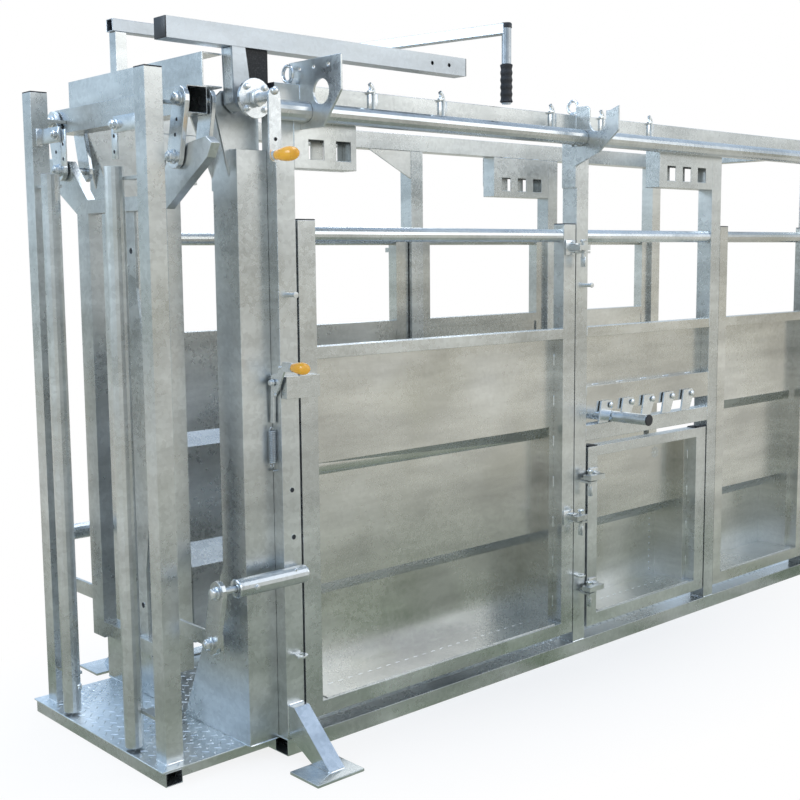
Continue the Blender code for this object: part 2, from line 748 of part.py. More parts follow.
# ---- Door latch -----------------------------------------------------------------------------
def latch_lever():
    """Bell-crank plate on the head post's front face, with an arm for the knob and a spring tail."""
    from_pin = [
        (0.012, 0.022),
        (-0.020, 0.030),
        (-0.050, 0.067),
        (-0.092, 0.067),
        (-0.092, 0.037),
        (-0.055, 0.037),
        (-0.020, -0.025),
        (0, -0.045),
        (0.002, -0.128),
        (0.020, -0.128),
    ]
    outline = [LATCH_PIN + Vector(offset) for offset in from_pin]
    body = plate(outline, "X", LATCH_X)
    middle = (sum(LATCH_X) / 2, LATCH_KNOB.y)
    spindle = rod("Y", middle, 0.004, (LATCH_KNOB.x - 0.035, LATCH_KNOB.x + 0.02), 8)
    bore = rod("X", LATCH_PIN, PIN_R + PIN_PLAY, (LATCH_X[0] - 0.01, LATCH_X[1] + 0.01), 12)
    return cut(join(body, spindle), bore)


def knob(centre_x, centre_z, face_y, length, radius, bore_r, bore_depth):
    """A pear-shaped hand knob that points out along -Y, bored for its spindle."""
    steps = 8
    profile = []
    for step in range(steps):
        share = step / steps
        profile.append((radius * math.sin(math.pi * (0.2 + 0.8 * share) ** 1.3), length * share))
    mesh = bpy.data.meshes.new("knob")
    points = [(bore_r, 0, 0)] + [(r, 0, along) for r, along in profile] + [(0, 0, length)]
    points = [(0, 0, bore_depth), (bore_r, 0, bore_depth)] + points
    mesh.from_pydata(points, [(i, i + 1) for i in range(len(points) - 1)], [])
    turned = new_object("knob", mesh)
    screw = turned.modifiers.new("turn", "SCREW")
    screw.axis = "Z"
    screw.steps = 14
    screw.render_steps = 14
    screw.use_merge_vertices = True
    screw.merge_threshold = 1e-5
    turned.matrix_world = Matrix.Translation((centre_x, face_y, centre_z)) @ Matrix.Rotation(
        math.radians(90), 4, "X"
    )
    bpy.context.view_layer.update()
    return as_mesh(turned)


def latch_spring():
    """Extension spring between the lever's tail and its stud on the post."""
    turns, coil_r, per_turn = 9, 0.006, 8
    x = sum(LATCH_X) / 2
    points = [(x, SPRING_Y, SPRING_Z[1])]
    top, low = SPRING_Z[1] - 0.015, SPRING_Z[0] + 0.02
    for step in range(turns * per_turn + 1):
        angle = 2 * math.pi * step / per_turn
        height = top + (low - top) * step / (turns * per_turn)
        points.append((x + coil_r * math.cos(angle), SPRING_Y + coil_r * math.sin(angle), height))
    points.append((x, SPRING_Y, SPRING_Z[0] + 0.0055))
    curve = bpy.data.curves.new("spring", "CURVE")
    curve.dimensions = "3D"
    curve.bevel_depth = 0.0015
    curve.bevel_resolution = 0
    curve.use_fill_caps = True
    spline = curve.splines.new("POLY")
    spline.points.add(len(points) - 1)
    for point, place_at in zip(spline.points, points):
        point.co = (*place_at, 1)
    return as_mesh(new_object("spring", curve))


# ---- Head gate ------------------------------------------------------------------------------
def column():
    """Wide box column with its lower gusset and the two cheeks that hold the header and shaft."""
    span_x, near = COLUMN
    span_y = (-near[1], -near[0])
    body = weld([section("Z", span_x, span_y, (FLOOR_TOP + GAP, COLUMN_TOP))])
    gusset = plate(
        [(span_y[1] - WELD, FLOOR_TOP + GAP), (span_y[1] - WELD, 0.62), (0.43 - HALF_WIDTH, FLOOR_TOP + GAP)],
        "X",
        (span_x[0], span_x[0] + 0.004),
    )
    header_back = HEADER_X[1] + GAP
    cheek_top = HEADER_Z[1] - 0.008
    beside_link = REAR_LINK[1] + 0.012
    cheeks = []
    for front, span in (
        (header_back, (span_y[1] - WELD, span_y[1] + CHEEK_THICK - WELD)),
        (beside_link, (-HEADER_HALF, -HEADER_HALF + CHEEK_THICK)),
    ):
        cheek = [
            (span_x[1], COLUMN_TOP - 0.12),
            (span_x[1], BEAM_TOP - 0.08),
            (SHAFT.x + 0.04, cheek_top),
            (front + 0.02, cheek_top),
            (front, cheek_top - 0.02),
            (front, HEADER_Z[0]),
            (span_x[0], COLUMN_TOP - 0.08),
            (span_x[0], COLUMN_TOP - 0.12),
        ]
        cheeks.append(plate(cheek, "Y", span))
    bore = rod("Y", SHAFT, SHAFT_R + PIN_PLAY, (span_y[0], span_y[1] + 0.01), 14)
    return cut(join(body, gusset, *cheeks), bore)


def front_header():
    """Header box across the gate, the channel on top of it, and the upper links' pins."""
    half = HEADER_HALF
    header = section("Y", HEADER_X, (-half, half), HEADER_Z)
    body = weld([header])
    channel_x = (HEADER_X[0] + 0.055, HEADER_X[0] + 0.125)
    channel_z = (HEADER_Z[1] - WELD, CHANNEL_TOP)
    channel = block(channel_x, (-half, half), channel_z)
    groove = block(
        (channel_x[0] + 0.005, channel_x[1] + 0.01),
        (-half - 0.01, half + 0.01),
        (channel_z[0] + 0.005, channel_z[1] - 0.005),
    )
    pieces = [cut(channel, groove)]
    for side in (-1, 1):
        centre = (-side * PIVOT_TOP.x, PIVOT_TOP.y)
        pieces.append(rod("X", centre, LINK_PIN_R, (LINK_PIN_ENDS[0], HEADER_X[0] + WELD), 12))
        pieces.append(rod("X", centre, LINK_PIN_R, (HEADER_X[1] - WELD, LINK_PIN_ENDS[1]), 12))
    stand_x = (channel_x[0] + 0.01, channel_x[0] + 0.05)
    pieces.append(block(stand_x, CONTROL_Y, (channel_z[1] - WELD, CONTROL_Z[0] - GAP)))
    return join(body, *pieces)


def gate_post():
    """Front post with its round stanchion held by two brackets, and the tie to the header."""
    span_x, near = GATE_POST
    span_y = (-near[1], -near[0])
    body = section("Z", span_x, span_y, (FLOOR_TOP + GAP, GATE_POST_TOP))
    stanchion = pipe("Z", STANCHION, PIPE_R, (FLOOR_TOP + 0.01, STANCHION_TOP))
    beside = STANCHION.y - 0.008
    brackets = []
    for low in STANCHION_BRACKET_Z:
        span_z = (low, low + 0.01)
        brackets.append(block((span_x[0] + 0.01, span_x[1] - 0.01), (span_y[1] - WELD, beside - 0.017), span_z))
        brackets.append(block((span_x[0] + 0.01, span_x[0] + 0.027), (beside - 0.025, beside), span_z))
    tie_y = (PIVOT_TOP.x + LINK_WIDTH / 2 + 0.015, span_y[1])
    tie = block((span_x[1] - WELD, HEADER_X[0] - GAP), tie_y, (HEADER_Z[0] + 0.03, HEADER_Z[0] + 0.04))
    return join(weld([body], tie), weld([stanchion]), *brackets)


def link(pivot, span, bored_ends):
    """Flat link that hangs from its pivot, bored for the pins at bored_ends of its two ends."""
    ends = (pivot, pivot + LINK_SWING)
    body = plate(rounded_bar(*ends, LINK_WIDTH), "X", span)
    longer = (span[0] - 0.02, span[1] + 0.02)
    bores = [rod("X", ends[end], LINK_PIN_R + PIN_PLAY, longer, 12) for end in bored_ends]
    return cut(body, *bores)


def lower_link():
    """Lower link fixed to the shaft that turns in the sleeve on the head post."""
    body = link(PIVOT_LOW, FRONT_LINK, (1,))
    shaft = rod("X", PIVOT_LOW, LINK_PIN_R, (FRONT_LINK[1] - WELD, HEAD_POST_X + 0.028), 12)
    return join(body, shaft)


def leaf():
    """One half of the neck gate: outer box, curved neck plate, cross bars, arm and lug for the links."""
    high = PIVOT_TOP + LINK_SWING
    low = PIVOT_LOW + LINK_SWING
    outer_y = LEAF_BOX_Y
    top = LEAF_Z[1]
    frame = weld([section("Z", LEAF, outer_y, LEAF_Z)])
    neck_back = -LEAF_SPLIT - NECK_WIDTH
    foot, belly_low, belly_high = NECK
    edge = [(-LEAF_SPLIT, foot), (-LEAF_SPLIT, top), (neck_back, top), (neck_back, belly_high)]
    for step in range(1, 10):
        share = step / 10
        bulge = NECK_BELLY * math.sin(math.pi * share)
        edge.append((neck_back - bulge, belly_high + (belly_low - belly_high) * share))
    edge += [(neck_back, belly_low), (neck_back, foot)]
    neck = plate(edge, "X", (LEAF[0] + 0.02, LEAF[0] + 0.03))
    bars = [
        block(LEAF, (outer_y[1] - WELD, -0.01), (z, z + LEAF_BAR)) for z in (foot, top - LEAF_BAR)
    ]
    front = (LEAF[0], LEAF[0] + ARM_THICK)
    arm_end = high + ARM_PAST_PIVOT
    arm_edge = [
        (outer_y[0] + WELD, top - LEAF_BAR),
        (arm_end.x - 0.005, arm_end.y - 0.032),
        (arm_end.x - 0.030, arm_end.y + 0.008),
        (arm_end.x, arm_end.y + 0.028),
        (high.x - 0.028, high.y + 0.035),
        (high.x + 0.027, high.y + 0.030),
        (outer_y[1] - WELD, top),
        (outer_y[1] - WELD, top - LEAF_BAR),
    ]
    arm = plate(arm_edge, "X", front)
    lug_y = (low.x - 0.025, outer_y[0] + WELD)
    lug = block((LEAF[0] + 0.002, LEAF[0] + 0.012), lug_y, (low.y - 0.025, low.y + 0.025))
    pins = [
        rod("X", high, LINK_PIN_R, LINK_PIN_ENDS, 12),
        rod("X", low, LINK_PIN_R, (LINK_PIN_ENDS[0], LEAF[0] + 0.005), 12),
    ]
    return join(frame, neck, *bars, arm, lug, *pins)


# ---- Levers ---------------------------------------------------------------------------------
def head_lever():
    """Long box lever over the near beam, on two inclined plates and a hub about the shaft."""
    span_y = (LEVER_Y - LEVER_TUBE / 2, LEVER_Y + LEVER_TUBE / 2)
    span_z = (LEVER_BOTTOM, LEVER_BOTTOM + LEVER_TUBE)
    tube = weld([section("X", LEVER_ENDS, span_y, span_z)])
    holes = [
        rod("Y", (x, LEVER_BOTTOM + LEVER_TUBE / 2), 0.007, (span_y[0] - 0.01, span_y[1] + 0.01), 10)
        for x in LEVER_HOLES_X
    ]
    tube = cut(tube, *holes)
    hub_r = 0.035
    bracket = [
        (SHAFT.x - 0.030, SHAFT.y - 0.01),
        (SHAFT.x - 0.035, LEVER_BOTTOM + WELD),
        (SHAFT.x + 0.012, LEVER_BOTTOM + WELD),
        (SHAFT.x + hub_r, SHAFT.y - 0.01),
        (SHAFT.x, SHAFT.y - hub_r),
    ]
    plates = [
        plate(bracket, "Y", (span_y[0] + 0.002, span_y[0] + 0.010)),
        plate(bracket, "Y", (span_y[1] - 0.010, span_y[1] - 0.002)),
    ]
    hub = rod("Y", SHAFT, hub_r - 0.006, (span_y[0] + 0.004, span_y[1] - 0.004))
    bore = rod("Y", SHAFT, SHAFT_R + PIN_PLAY, (span_y[0] - 0.01, span_y[1] + 0.01), 14)
    return join(tube, cut(join(hub, *plates), bore))


def lever_pad():
    """Rubber block under the lever, between its two bracket plates."""
    top = LEVER_BOTTOM - GAP
    low = SHAFT.y + 0.045
    front, back = SHAFT.x - 0.02, HEAD_POST_X - POST / 2
    outline = [(front, top), (front, low), (back - 0.015, low), (back, low + 0.015), (back, top)]
    return plate(outline, "Y", (LEVER_Y - 0.0185, LEVER_Y + 0.0185))


def crank_arm():
    """Shaft with its flange, and the flat crank that hangs from its end."""
    shaft = rod("Y", SHAFT, SHAFT_R, (CRANK_Y + WELD, 0.182 - HALF_WIDTH), 14)
    flange = rod("Y", SHAFT, 0.0585, (-HALF_WIDTH - 0.042, -HALF_WIDTH - 0.030), 24)
    low = SHAFT + Vector((0, -CRANK_DROP))
    arm = plate(rounded_bar(SHAFT, low, 0.044), "Y", (CRANK_Y - 0.008, CRANK_Y))
    arm_shaft = rod("Y", SHAFT, SHAFT_R, (CRANK_Y - 0.004, CRANK_Y + 0.01), 14)
    spindle = rod("Y", low, 0.005, (CRANK_Y - 0.035, CRANK_Y - 0.004), 10)
    return join(shaft, flange, arm_shaft, arm, spindle)


def control_beam():
    return weld([section("X", (CONTROL_FRONT, ARM_PIVOT.x + 0.03), CONTROL_Y, CONTROL_Z)])


def arm_turn():
    pivot = Vector((*ARM_PIVOT, 0))
    return Matrix.Translation(pivot) @ Matrix.Rotation(ARM_LEAN, 4, "Z") @ Matrix.Translation(-pivot)


def grip_arm():
    """Arm pivoted on the control beam, with the upright hand tube at its near end."""
    end_y = ARM_PIVOT.y - ARM_REACH
    span_x = (ARM_PIVOT.x - 0.02, ARM_PIVOT.x + 0.02)
    arm = weld([section("Y", span_x, (end_y, ARM_PIVOT.y + 0.03), ARM_Z)])
    tube = rod("Z", (ARM_PIVOT.x, end_y), GRIP_TUBE_R, (GRIP_LOW, ARM_Z[1] + 0.003))
    made = join(arm, tube)
    made.data.transform(arm_turn())
    return made


def lever_grip():
    centre = (ARM_PIVOT.x, ARM_PIVOT.y - ARM_REACH)
    sleeve = rod("Z", centre, GRIP_TUBE_R + 0.005, (GRIP_LOW + 0.004, GRIP_LOW + 0.139))
    sleeve = cut(sleeve, rod("Z", centre, GRIP_TUBE_R + GAP, (GRIP_LOW - 0.01, GRIP_LOW + 0.15)))
    sleeve.data.transform(arm_turn())
    return sleeve


# ---- Assembly -------------------------------------------------------------------------------
def clear_scene():
    for stale in list(bpy.data.objects):
        bpy.data.objects.remove(stale)


def x_point(pivot):
    """A joint origin on an axis along X, at the gate's link plane."""
    return (sum(FRONT_LINK) / 2, pivot.x, pivot.y)


def build():
    steel = finish("galvanised_steel", (0.62, 0.65, 0.67), 0.38, 1.0)
    black = finish("black_plastic", (0.02, 0.02, 0.022), 0.5, 0.0)
    rubber = finish("black_rubber", (0.018, 0.017, 0.016), 0.75, 0.0)
    amber = finish("amber_plastic", (0.9, 0.45, 0.03), 0.3, 0.0)

    place("base_frame", base_frame(), steel)
    place("floor_plate", floor_plate(), steel)
    place_pair("outrigger", near_and_far(outrigger), steel)
    place("near_head_post", near_head_post(), steel)
    place("far_head_post", mirrored(head_post()), steel)
    place("near_middle_post", middle_post(), steel)
    place("far_middle_post", far_middle_post(), steel)
    place_pair("rear_post", near_and_far(lambda: post(REAR_POST_X)), steel)
    place_pair("top_beam", near_and_far(top_beam), steel)
    place("near_round_rail", round_rail(), steel)
    place("rear_cross_beam", rear_cross_beam(), steel)
    place("front_pole_bracket", front_pole_bracket(), steel)
    place("rear_pole_bracket", rear_pole_bracket(), steel)
    place_pair("front_bar_box", near_and_far(front_box), steel)
    place_pair("rear_bar_box", near_and_far(rear_box), steel)
    place_pair("column", near_and_far(column), steel)
    place_pair("gate_post", near_and_far(gate_post), steel)
    place("front_header", front_header(), steel)
    place("control_beam", control_beam(), steel)
    place("near_upper_panel", near_upper_panel(), steel)
    place("near_upper_rail", near_upper_rail(), steel)
    place("near_comb_rail", near_comb_rail(), steel)
    place_pair("rear_panel", near_and_far(rear_panel), steel)
    place("far_middle_panel", far_middle_panel(), steel)

    door_axis = (DOOR_HINGE_X, HINGE_Y, 0)
    place("near_door_frame", door_frame(latch_keeper()), steel, door_axis)
    place("near_door_panel", near_door_panel(), steel, door_axis)
    place("far_door", far_door(), steel, (DOOR_HINGE_X, -HINGE_Y, 0))
    half_axis = (HALF_HINGE_X, HINGE_Y, 0)
    place("half_door_frame", half_door_frame(), steel, half_axis)
    place("half_door_panel", half_door_panel(), steel, half_axis)

    place("anti_back_bar", anti_back_bar(), steel, (BAR_X, 0, BAR_Z))
    for index in range(PAWL_COUNT):
        pin = (pawl_pin_x(index), -HALF_WIDTH, PAWL_Z)
        place(f"pawl_{index + 1}", pawl(index), steel, pin)

    latch_axis = (sum(LATCH_X) / 2, *LATCH_PIN)
    place("latch_lever", latch_lever(), steel, latch_axis)
    latch_knob = knob(latch_axis[0], LATCH_KNOB.y, LATCH_KNOB.x - 0.0085, 0.085, 0.021, 0.0046, 0.028)
    place("latch_knob", latch_knob, amber, latch_axis)
    place("latch_spring", latch_spring(), steel)

    for base, span in (("front_link", FRONT_LINK), ("rear_link", REAR_LINK)):
        pair = near_and_far(lambda: link(PIVOT_TOP, span, (0, 1)))
        place_pair(base, pair, steel, x_point(PIVOT_TOP))
    place_pair("lower_link", near_and_far(lower_link), steel, x_point(PIVOT_LOW))
    place_pair("gate_leaf", near_and_far(leaf), steel, x_point(PIVOT_TOP + LINK_SWING))

    lever_axis = (SHAFT.x, LEVER_Y, SHAFT.y)
    place("head_lever", head_lever(), steel, lever_axis)
    place("lever_pad", lever_pad(), rubber, lever_axis)
    place("crank_arm", crank_arm(), steel, (SHAFT.x, CRANK_Y, SHAFT.y))
    crank_low = SHAFT.y - CRANK_DROP
    crank_knob = knob(SHAFT.x, crank_low, CRANK_Y - 0.0085, 0.11, 0.023, 0.0056, 0.028)
    place("crank_knob", crank_knob, amber, (SHAFT.x, CRANK_Y, crank_low))
    arm_axis = (*ARM_PIVOT, ARM_Z[0])
    place("grip_arm", grip_arm(), steel, arm_axis)
    place("lever_grip", lever_grip(), black, arm_axis)


clear_scene()
parts = bpy.data.collections.new("cattle_squeeze_chute")
bpy.context.scene.collection.children.link(parts)
build()
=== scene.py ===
# %% [markdown]
# # A cattle squeeze chute in hot-dip galvanised steel
# The construction model already holds every tube, sheet, hinge and lever at its real size. This
# script dresses it: it gives each surface its finish and adds the small things a welder and a
# fitter add afterwards, such as caps, bolts, hooks, weld beads, hand grips and tread plate.
# Most positions come from the boxes of the construction pieces. Where a box can't tell, as inside a
# welded piece, the place is given in metres.

import math

import bmesh
import bpy
from mathutils import Matrix, Vector


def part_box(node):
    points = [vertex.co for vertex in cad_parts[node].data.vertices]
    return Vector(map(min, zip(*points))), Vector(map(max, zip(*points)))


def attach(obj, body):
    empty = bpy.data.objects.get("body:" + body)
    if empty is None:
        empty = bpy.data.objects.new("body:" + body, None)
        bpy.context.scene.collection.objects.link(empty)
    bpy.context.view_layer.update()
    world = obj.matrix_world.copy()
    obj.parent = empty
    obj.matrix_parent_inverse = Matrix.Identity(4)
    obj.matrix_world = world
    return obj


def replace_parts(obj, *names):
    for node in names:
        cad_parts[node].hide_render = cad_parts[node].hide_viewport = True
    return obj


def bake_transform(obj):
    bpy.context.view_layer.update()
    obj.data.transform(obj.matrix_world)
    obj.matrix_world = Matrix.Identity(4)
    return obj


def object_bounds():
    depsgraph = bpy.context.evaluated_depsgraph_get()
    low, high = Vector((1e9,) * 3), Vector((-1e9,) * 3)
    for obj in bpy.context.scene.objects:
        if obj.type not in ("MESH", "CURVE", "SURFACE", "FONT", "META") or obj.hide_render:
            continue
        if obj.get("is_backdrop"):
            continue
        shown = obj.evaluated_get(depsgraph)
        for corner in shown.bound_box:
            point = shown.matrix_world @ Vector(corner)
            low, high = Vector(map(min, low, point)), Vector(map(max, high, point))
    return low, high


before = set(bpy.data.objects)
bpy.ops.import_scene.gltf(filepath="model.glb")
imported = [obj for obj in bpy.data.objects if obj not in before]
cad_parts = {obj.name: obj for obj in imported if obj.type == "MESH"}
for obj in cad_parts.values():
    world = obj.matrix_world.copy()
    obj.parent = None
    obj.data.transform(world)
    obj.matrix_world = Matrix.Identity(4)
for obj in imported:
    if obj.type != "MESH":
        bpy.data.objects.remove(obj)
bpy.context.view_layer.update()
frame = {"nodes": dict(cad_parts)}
nodes = frame["nodes"]
scene = bpy.context.scene

# %% [markdown]
# ## Numbers that the pieces share
# A few sizes of the steelwork come up again and again: the width of a tube, the width of a door's
# upright and the 0.3 mm that touching pieces keep between them. They are named once here, with the
# places of the posts, the head lever's shaft and the gate's lower shafts, which several steps use.

# %% Shared sizes
TUBE_GAP = 0.0003
TUBE = 0.07  # posts and beams
STILE = 0.069
HALF_STILE = 0.06
FRAME_DEPTH = 0.05
OUTER_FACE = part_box("near_rear_post")[0].y
INNER_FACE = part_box("near_rear_post")[1].y
BEAM_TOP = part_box("near_top_beam")[1].z
BEAM_WELD = 2.049  # just under the beams
BASE_WELD = 0.056  # just over the skids
FLOOR_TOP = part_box("floor_plate")[1].z
POSTS = (-1.44, -0.015, 0.90)  # front faces of the head, middle and rear posts
GATE_POST_X, GATE_POST_Y = (-1.822, -1.762), (0.332, 0.392)
COLUMN_X, COLUMN_Y = (-1.552, -1.4406), (0.324, 0.453)
SHAFT_X, SHAFT_Z = -1.54, 2.06
SLEEVE_Y, SLEEVE_Z = 0.5275, 0.60
SIDES = (("near", -1), ("far", 1))
print("outer face", round(OUTER_FACE, 4), "floor", round(FLOOR_TOP, 4))


def across(sign, span):
    """A span of distances from the centre plane as a Y span, low to high, on the side of that sign."""
    return sorted(sign * distance for distance in span)


# %% [markdown]
# ## A small kit for node materials
# A material could be clicked together in the shader editor. In a script, two short helpers do the
# same work: one adds a node and fills its sockets, the other mixes two colours.


# %% Material helpers
def new_material(name, metallic, roughness):
    """A material with its tree and its Principled shader."""
    material = bpy.data.materials.new(name)
    material.use_nodes = True
    tree = material.node_tree
    shader = tree.nodes["Principled BSDF"]
    shader.inputs["Metallic"].default_value = metallic
    shader.inputs["Roughness"].default_value = roughness
    return material, tree, shader


def add(tree, kind, inputs, **settings):
    """Adds a node; inputs maps socket names or numbers to values or to other nodes' outputs."""
    made = tree.nodes.new("ShaderNode" + kind)
    for key, value in settings.items():
        setattr(made, key, value)
    for key, value in inputs.items():
        if isinstance(value, bpy.types.NodeSocket):
            tree.links.new(value, made.inputs[key])
        else:
            made.inputs[key].default_value = value
    return made


def mix(tree, factor, first, second, blend="MIX"):
    """Mixes two colours: sockets 6 and 7 take them and output 2 gives the result."""
    made = add(tree, "Mix", {0: factor, 6: first, 7: second}, data_type="RGBA", blend_type=blend)
    return made.outputs[2]


def remap(tree, value, low, high, to_low, to_high):
    """Stretches a value from one range to another."""
    return add(tree, "MapRange", {0: value, 1: low, 2: high, 3: to_low, 4: to_high}).outputs[0]


# %% [markdown]
# ## Hot-dip galvanised steel
# A dipped frame is neither grey paint nor bare metal. Zinc crystals, the spangle, catch the light
# in flakes a centimetre or two across. The bath leaves soft clouds, and the bars are wiped in
# slanting sweeps as they come out. Here and there a thin olive stain stays behind. A scan of real
# zinc could be wrapped round the tubes, but noise in object space needs no unwrapping and never
# repeats. Cell noise makes the flakes, two layers of soft noise make clouds and sweeps, and the
# same signals drive the roughness so that dull spots are also dull in the light.


# %% Zinc finishes
def zinc(name, tones, cloud_size, sweep, stain, roughness, spangle=0.045):
    """Galvanised steel: tones are its dark, middle and light colours, sizes are in metres."""
    material, tree, shader = new_material(name, 0.95, roughness)
    place = add(tree, "TexCoord", {}).outputs["Object"]
    clouds = add(
        tree, "TexNoise", {"Vector": place, "Scale": 1 / cloud_size, "Detail": 3, "Distortion": 0.4}
    )
    tilt = {"Vector": place, "Rotation": (0.25, 0.62, 0.2), "Scale": (1.1, 1.1, 7.0)}
    slant = add(tree, "Mapping", tilt).outputs[0]
    sweeps = add(tree, "TexNoise", {"Vector": slant, "Scale": 1.5, "Detail": 4, "Roughness": 0.6})
    flakes = add(tree, "TexVoronoi", {"Vector": place, "Scale": 75, "Randomness": 1})
    flake_tone = add(tree, "RGBToBW", {0: flakes.outputs[1]}).outputs[0]
    grain = add(tree, "TexNoise", {"Vector": place, "Scale": 160, "Detail": 1})

    ramp = add(tree, "ValToRGB", {0: clouds.outputs[0]})
    dark, light = ramp.color_ramp.elements
    dark.position, light.position = 0.33, 0.68
    ramp.color_ramp.elements.new(0.5)
    for stop, tone in zip(ramp.color_ramp.elements, tones):
        stop.color = (*tone, 1)

    swept = remap(tree, sweeps.outputs[0], 0.35, 0.65, 1 - sweep, 1 + sweep * 0.6)
    colour = mix(tree, 1.0, ramp.outputs[0], swept, "MULTIPLY")
    flaked = remap(tree, flake_tone, 0.2, 0.8, 1 - spangle, 1 + spangle)
    colour = mix(tree, 1.0, colour, flaked, "MULTIPLY")
    patches = add(tree, "TexNoise", {"Vector": place, "Scale": 2.3, "Detail": 2, "Roughness": 0.5})
    stained = remap(tree, patches.outputs[0], 0.54, 0.74, 0.0, stain)
    colour = mix(tree, stained, colour, (0.46, 0.46, 0.36, 1))
    tree.links.new(colour, shader.inputs["Base Color"])

    dull = remap(tree, flake_tone, 0.2, 0.8, roughness - 0.025, roughness + 0.025)
    cloudy = remap(tree, clouds.outputs[0], 0.35, 0.65, -0.04, 0.07)
    total = add(tree, "Math", {0: dull, 1: cloudy}, operation="ADD").outputs[0]
    tree.links.new(total, shader.inputs["Roughness"])

    bump = add(tree, "Bump", {"Strength": 0.05, "Distance": 0.0002, "Height": grain.outputs[0]})
    tree.links.new(bump.outputs[0], shader.inputs["Normal"])
    return material


zinc_tube = zinc(
    "zinc_tube", ((0.55, 0.57, 0.57), (0.66, 0.68, 0.68), (0.76, 0.78, 0.78)), 0.45, 0.14, 0.18, 0.27, 0.05
)
zinc_sheet = zinc(
    "zinc_sheet", ((0.57, 0.57, 0.55), (0.68, 0.68, 0.65), (0.78, 0.78, 0.76)), 0.60, 0.15, 0.30, 0.26, 0.03
)
zinc_post = zinc(
    "zinc_post", ((0.53, 0.55, 0.55), (0.62, 0.64, 0.64), (0.71, 0.73, 0.73)), 0.30, 0.13, 0.20, 0.29, 0.06
)
zinc_bright = zinc(
    "zinc_bright", ((0.66, 0.69, 0.71), (0.76, 0.79, 0.81), (0.85, 0.87, 0.88)), 0.15, 0.08, 0.0, 0.22
)
zinc_bar = zinc(
    "zinc_bar", ((0.38, 0.41, 0.44), (0.46, 0.50, 0.54), (0.55, 0.59, 0.63)), 0.35, 0.14, 0.10, 0.32, 0.06
)
zinc_floor = zinc(
    "zinc_floor", ((0.66, 0.70, 0.72), (0.77, 0.81, 0.83), (0.86, 0.89, 0.90)), 0.30, 0.12, 0.20, 0.30
)
print("zinc finishes:", [m.name for m in bpy.data.materials if m.name.startswith("zinc")])

# %% [markdown]
# ## Plastic, rubber and amber knobs
# The tube ends are closed with black push-in caps, the long arm ends in a moulded grip, and the two
# handles that are turned by hand carry glossy amber knobs. Each could be one flat colour, but
# moulded plastic has a faint grain, rubber is dusty and the amber lets a little light in.


# %% Moulded finishes
def moulded(name, dark, light, roughness, grain_size, dust=0.0):
    """A moulded plastic or rubber with a faint colour drift and a fine grain."""
    material, tree, shader = new_material(name, 0.0, roughness)
    place = add(tree, "TexCoord", {}).outputs["Object"]
    drift = add(tree, "TexNoise", {"Vector": place, "Scale": 18, "Detail": 3})
    grain = add(tree, "TexNoise", {"Vector": place, "Scale": 1 / grain_size, "Detail": 2})
    colour = mix(tree, drift.outputs[0], (*dark, 1), (*light, 1))
    if dust:
        settled = remap(tree, grain.outputs[0], 0.5, 0.8, 0.0, dust)
        colour = mix(tree, settled, colour, (0.30, 0.29, 0.27, 1))
    tree.links.new(colour, shader.inputs["Base Color"])
    varied = remap(tree, drift.outputs[0], 0.3, 0.7, roughness - 0.06, roughness + 0.06)
    tree.links.new(varied, shader.inputs["Roughness"])
    bump = add(tree, "Bump", {"Strength": 0.2, "Distance": 0.0004, "Height": grain.outputs[0]})
    tree.links.new(bump.outputs[0], shader.inputs["Normal"])
    return material, shader


black_cap, _ = moulded("black_cap", (0.012, 0.012, 0.014), (0.03, 0.03, 0.033), 0.42, 0.002)
black_grip, _ = moulded("black_grip", (0.010, 0.010, 0.012), (0.028, 0.028, 0.03), 0.55, 0.003, 0.1)
rubber_pad, _ = moulded("rubber_pad", (0.014, 0.013, 0.013), (0.035, 0.033, 0.032), 0.72, 0.004, 0.25)
amber_knob, amber_shader = moulded("amber_knob", (0.83, 0.33, 0.015), (0.95, 0.47, 0.03), 0.27, 0.01)
amber_shader.inputs["Subsurface Weight"].default_value = 0.12
amber_shader.inputs["Subsurface Radius"].default_value = (0.01, 0.004, 0.001)
amber_shader.inputs["Coat Weight"].default_value = 0.4
amber_shader.inputs["Coat Roughness"].default_value = 0.12

# %% [markdown]
# ## Which finish goes where
# Tubes, sheets and the tread plate come out of the bath looking different, because thick steel
# cools slowly and grows a duller, coarser zinc. Every construction piece gets the finish of its
# kind. Real square tube also has rounded corners, and a corner without a radius never catches a
# line of light. A weld-and-bevel modifier pair rounds the edges and leaves the mesh alone.

# %% Dress the construction pieces
finish_of = dict.fromkeys(nodes, zinc_tube)
sheets = ["near_door_panel", "half_door_panel", "near_upper_panel", "far_door", "far_middle_panel"]
sheets += ["near_rear_panel", "far_rear_panel"]
posts = [f"{side}_{kind}" for side, _ in SIDES for kind in ("column", "gate_post", "head_post", "gate_leaf")]
brights = [f"{side}_{kind}" for side, _ in SIDES for kind in ("outrigger", "front_link", "rear_link")]
brights += ["latch_lever", "crank_arm", "near_upper_rail", "anti_back_bar"]
brights += [name for name in nodes if name.startswith("pawl")]
bars = ["head_lever", "control_beam", "grip_arm"]
for names, finish in (
    (sheets, zinc_sheet),
    (posts, zinc_post),
    (brights, zinc_bright),
    (bars, zinc_bar),
    (["floor_plate"], zinc_floor),
    (["lever_pad"], rubber_pad),
):
    finish_of.update(dict.fromkeys(names, finish))
for name, node in nodes.items():
    node.data.materials.clear()
    node.data.materials.append(finish_of[name])
    seam = node.modifiers.new("seam", "WELD")
    seam.merge_threshold = 0.00002
    edge = node.modifiers.new("edge", "BEVEL")
    edge.width = 0.0017
    edge.segments = 2
    edge.limit_method = "ANGLE"
    edge.angle_limit = math.radians(40)
    edge.use_clamp_overlap = True
print("dressed", len(nodes), "construction pieces")

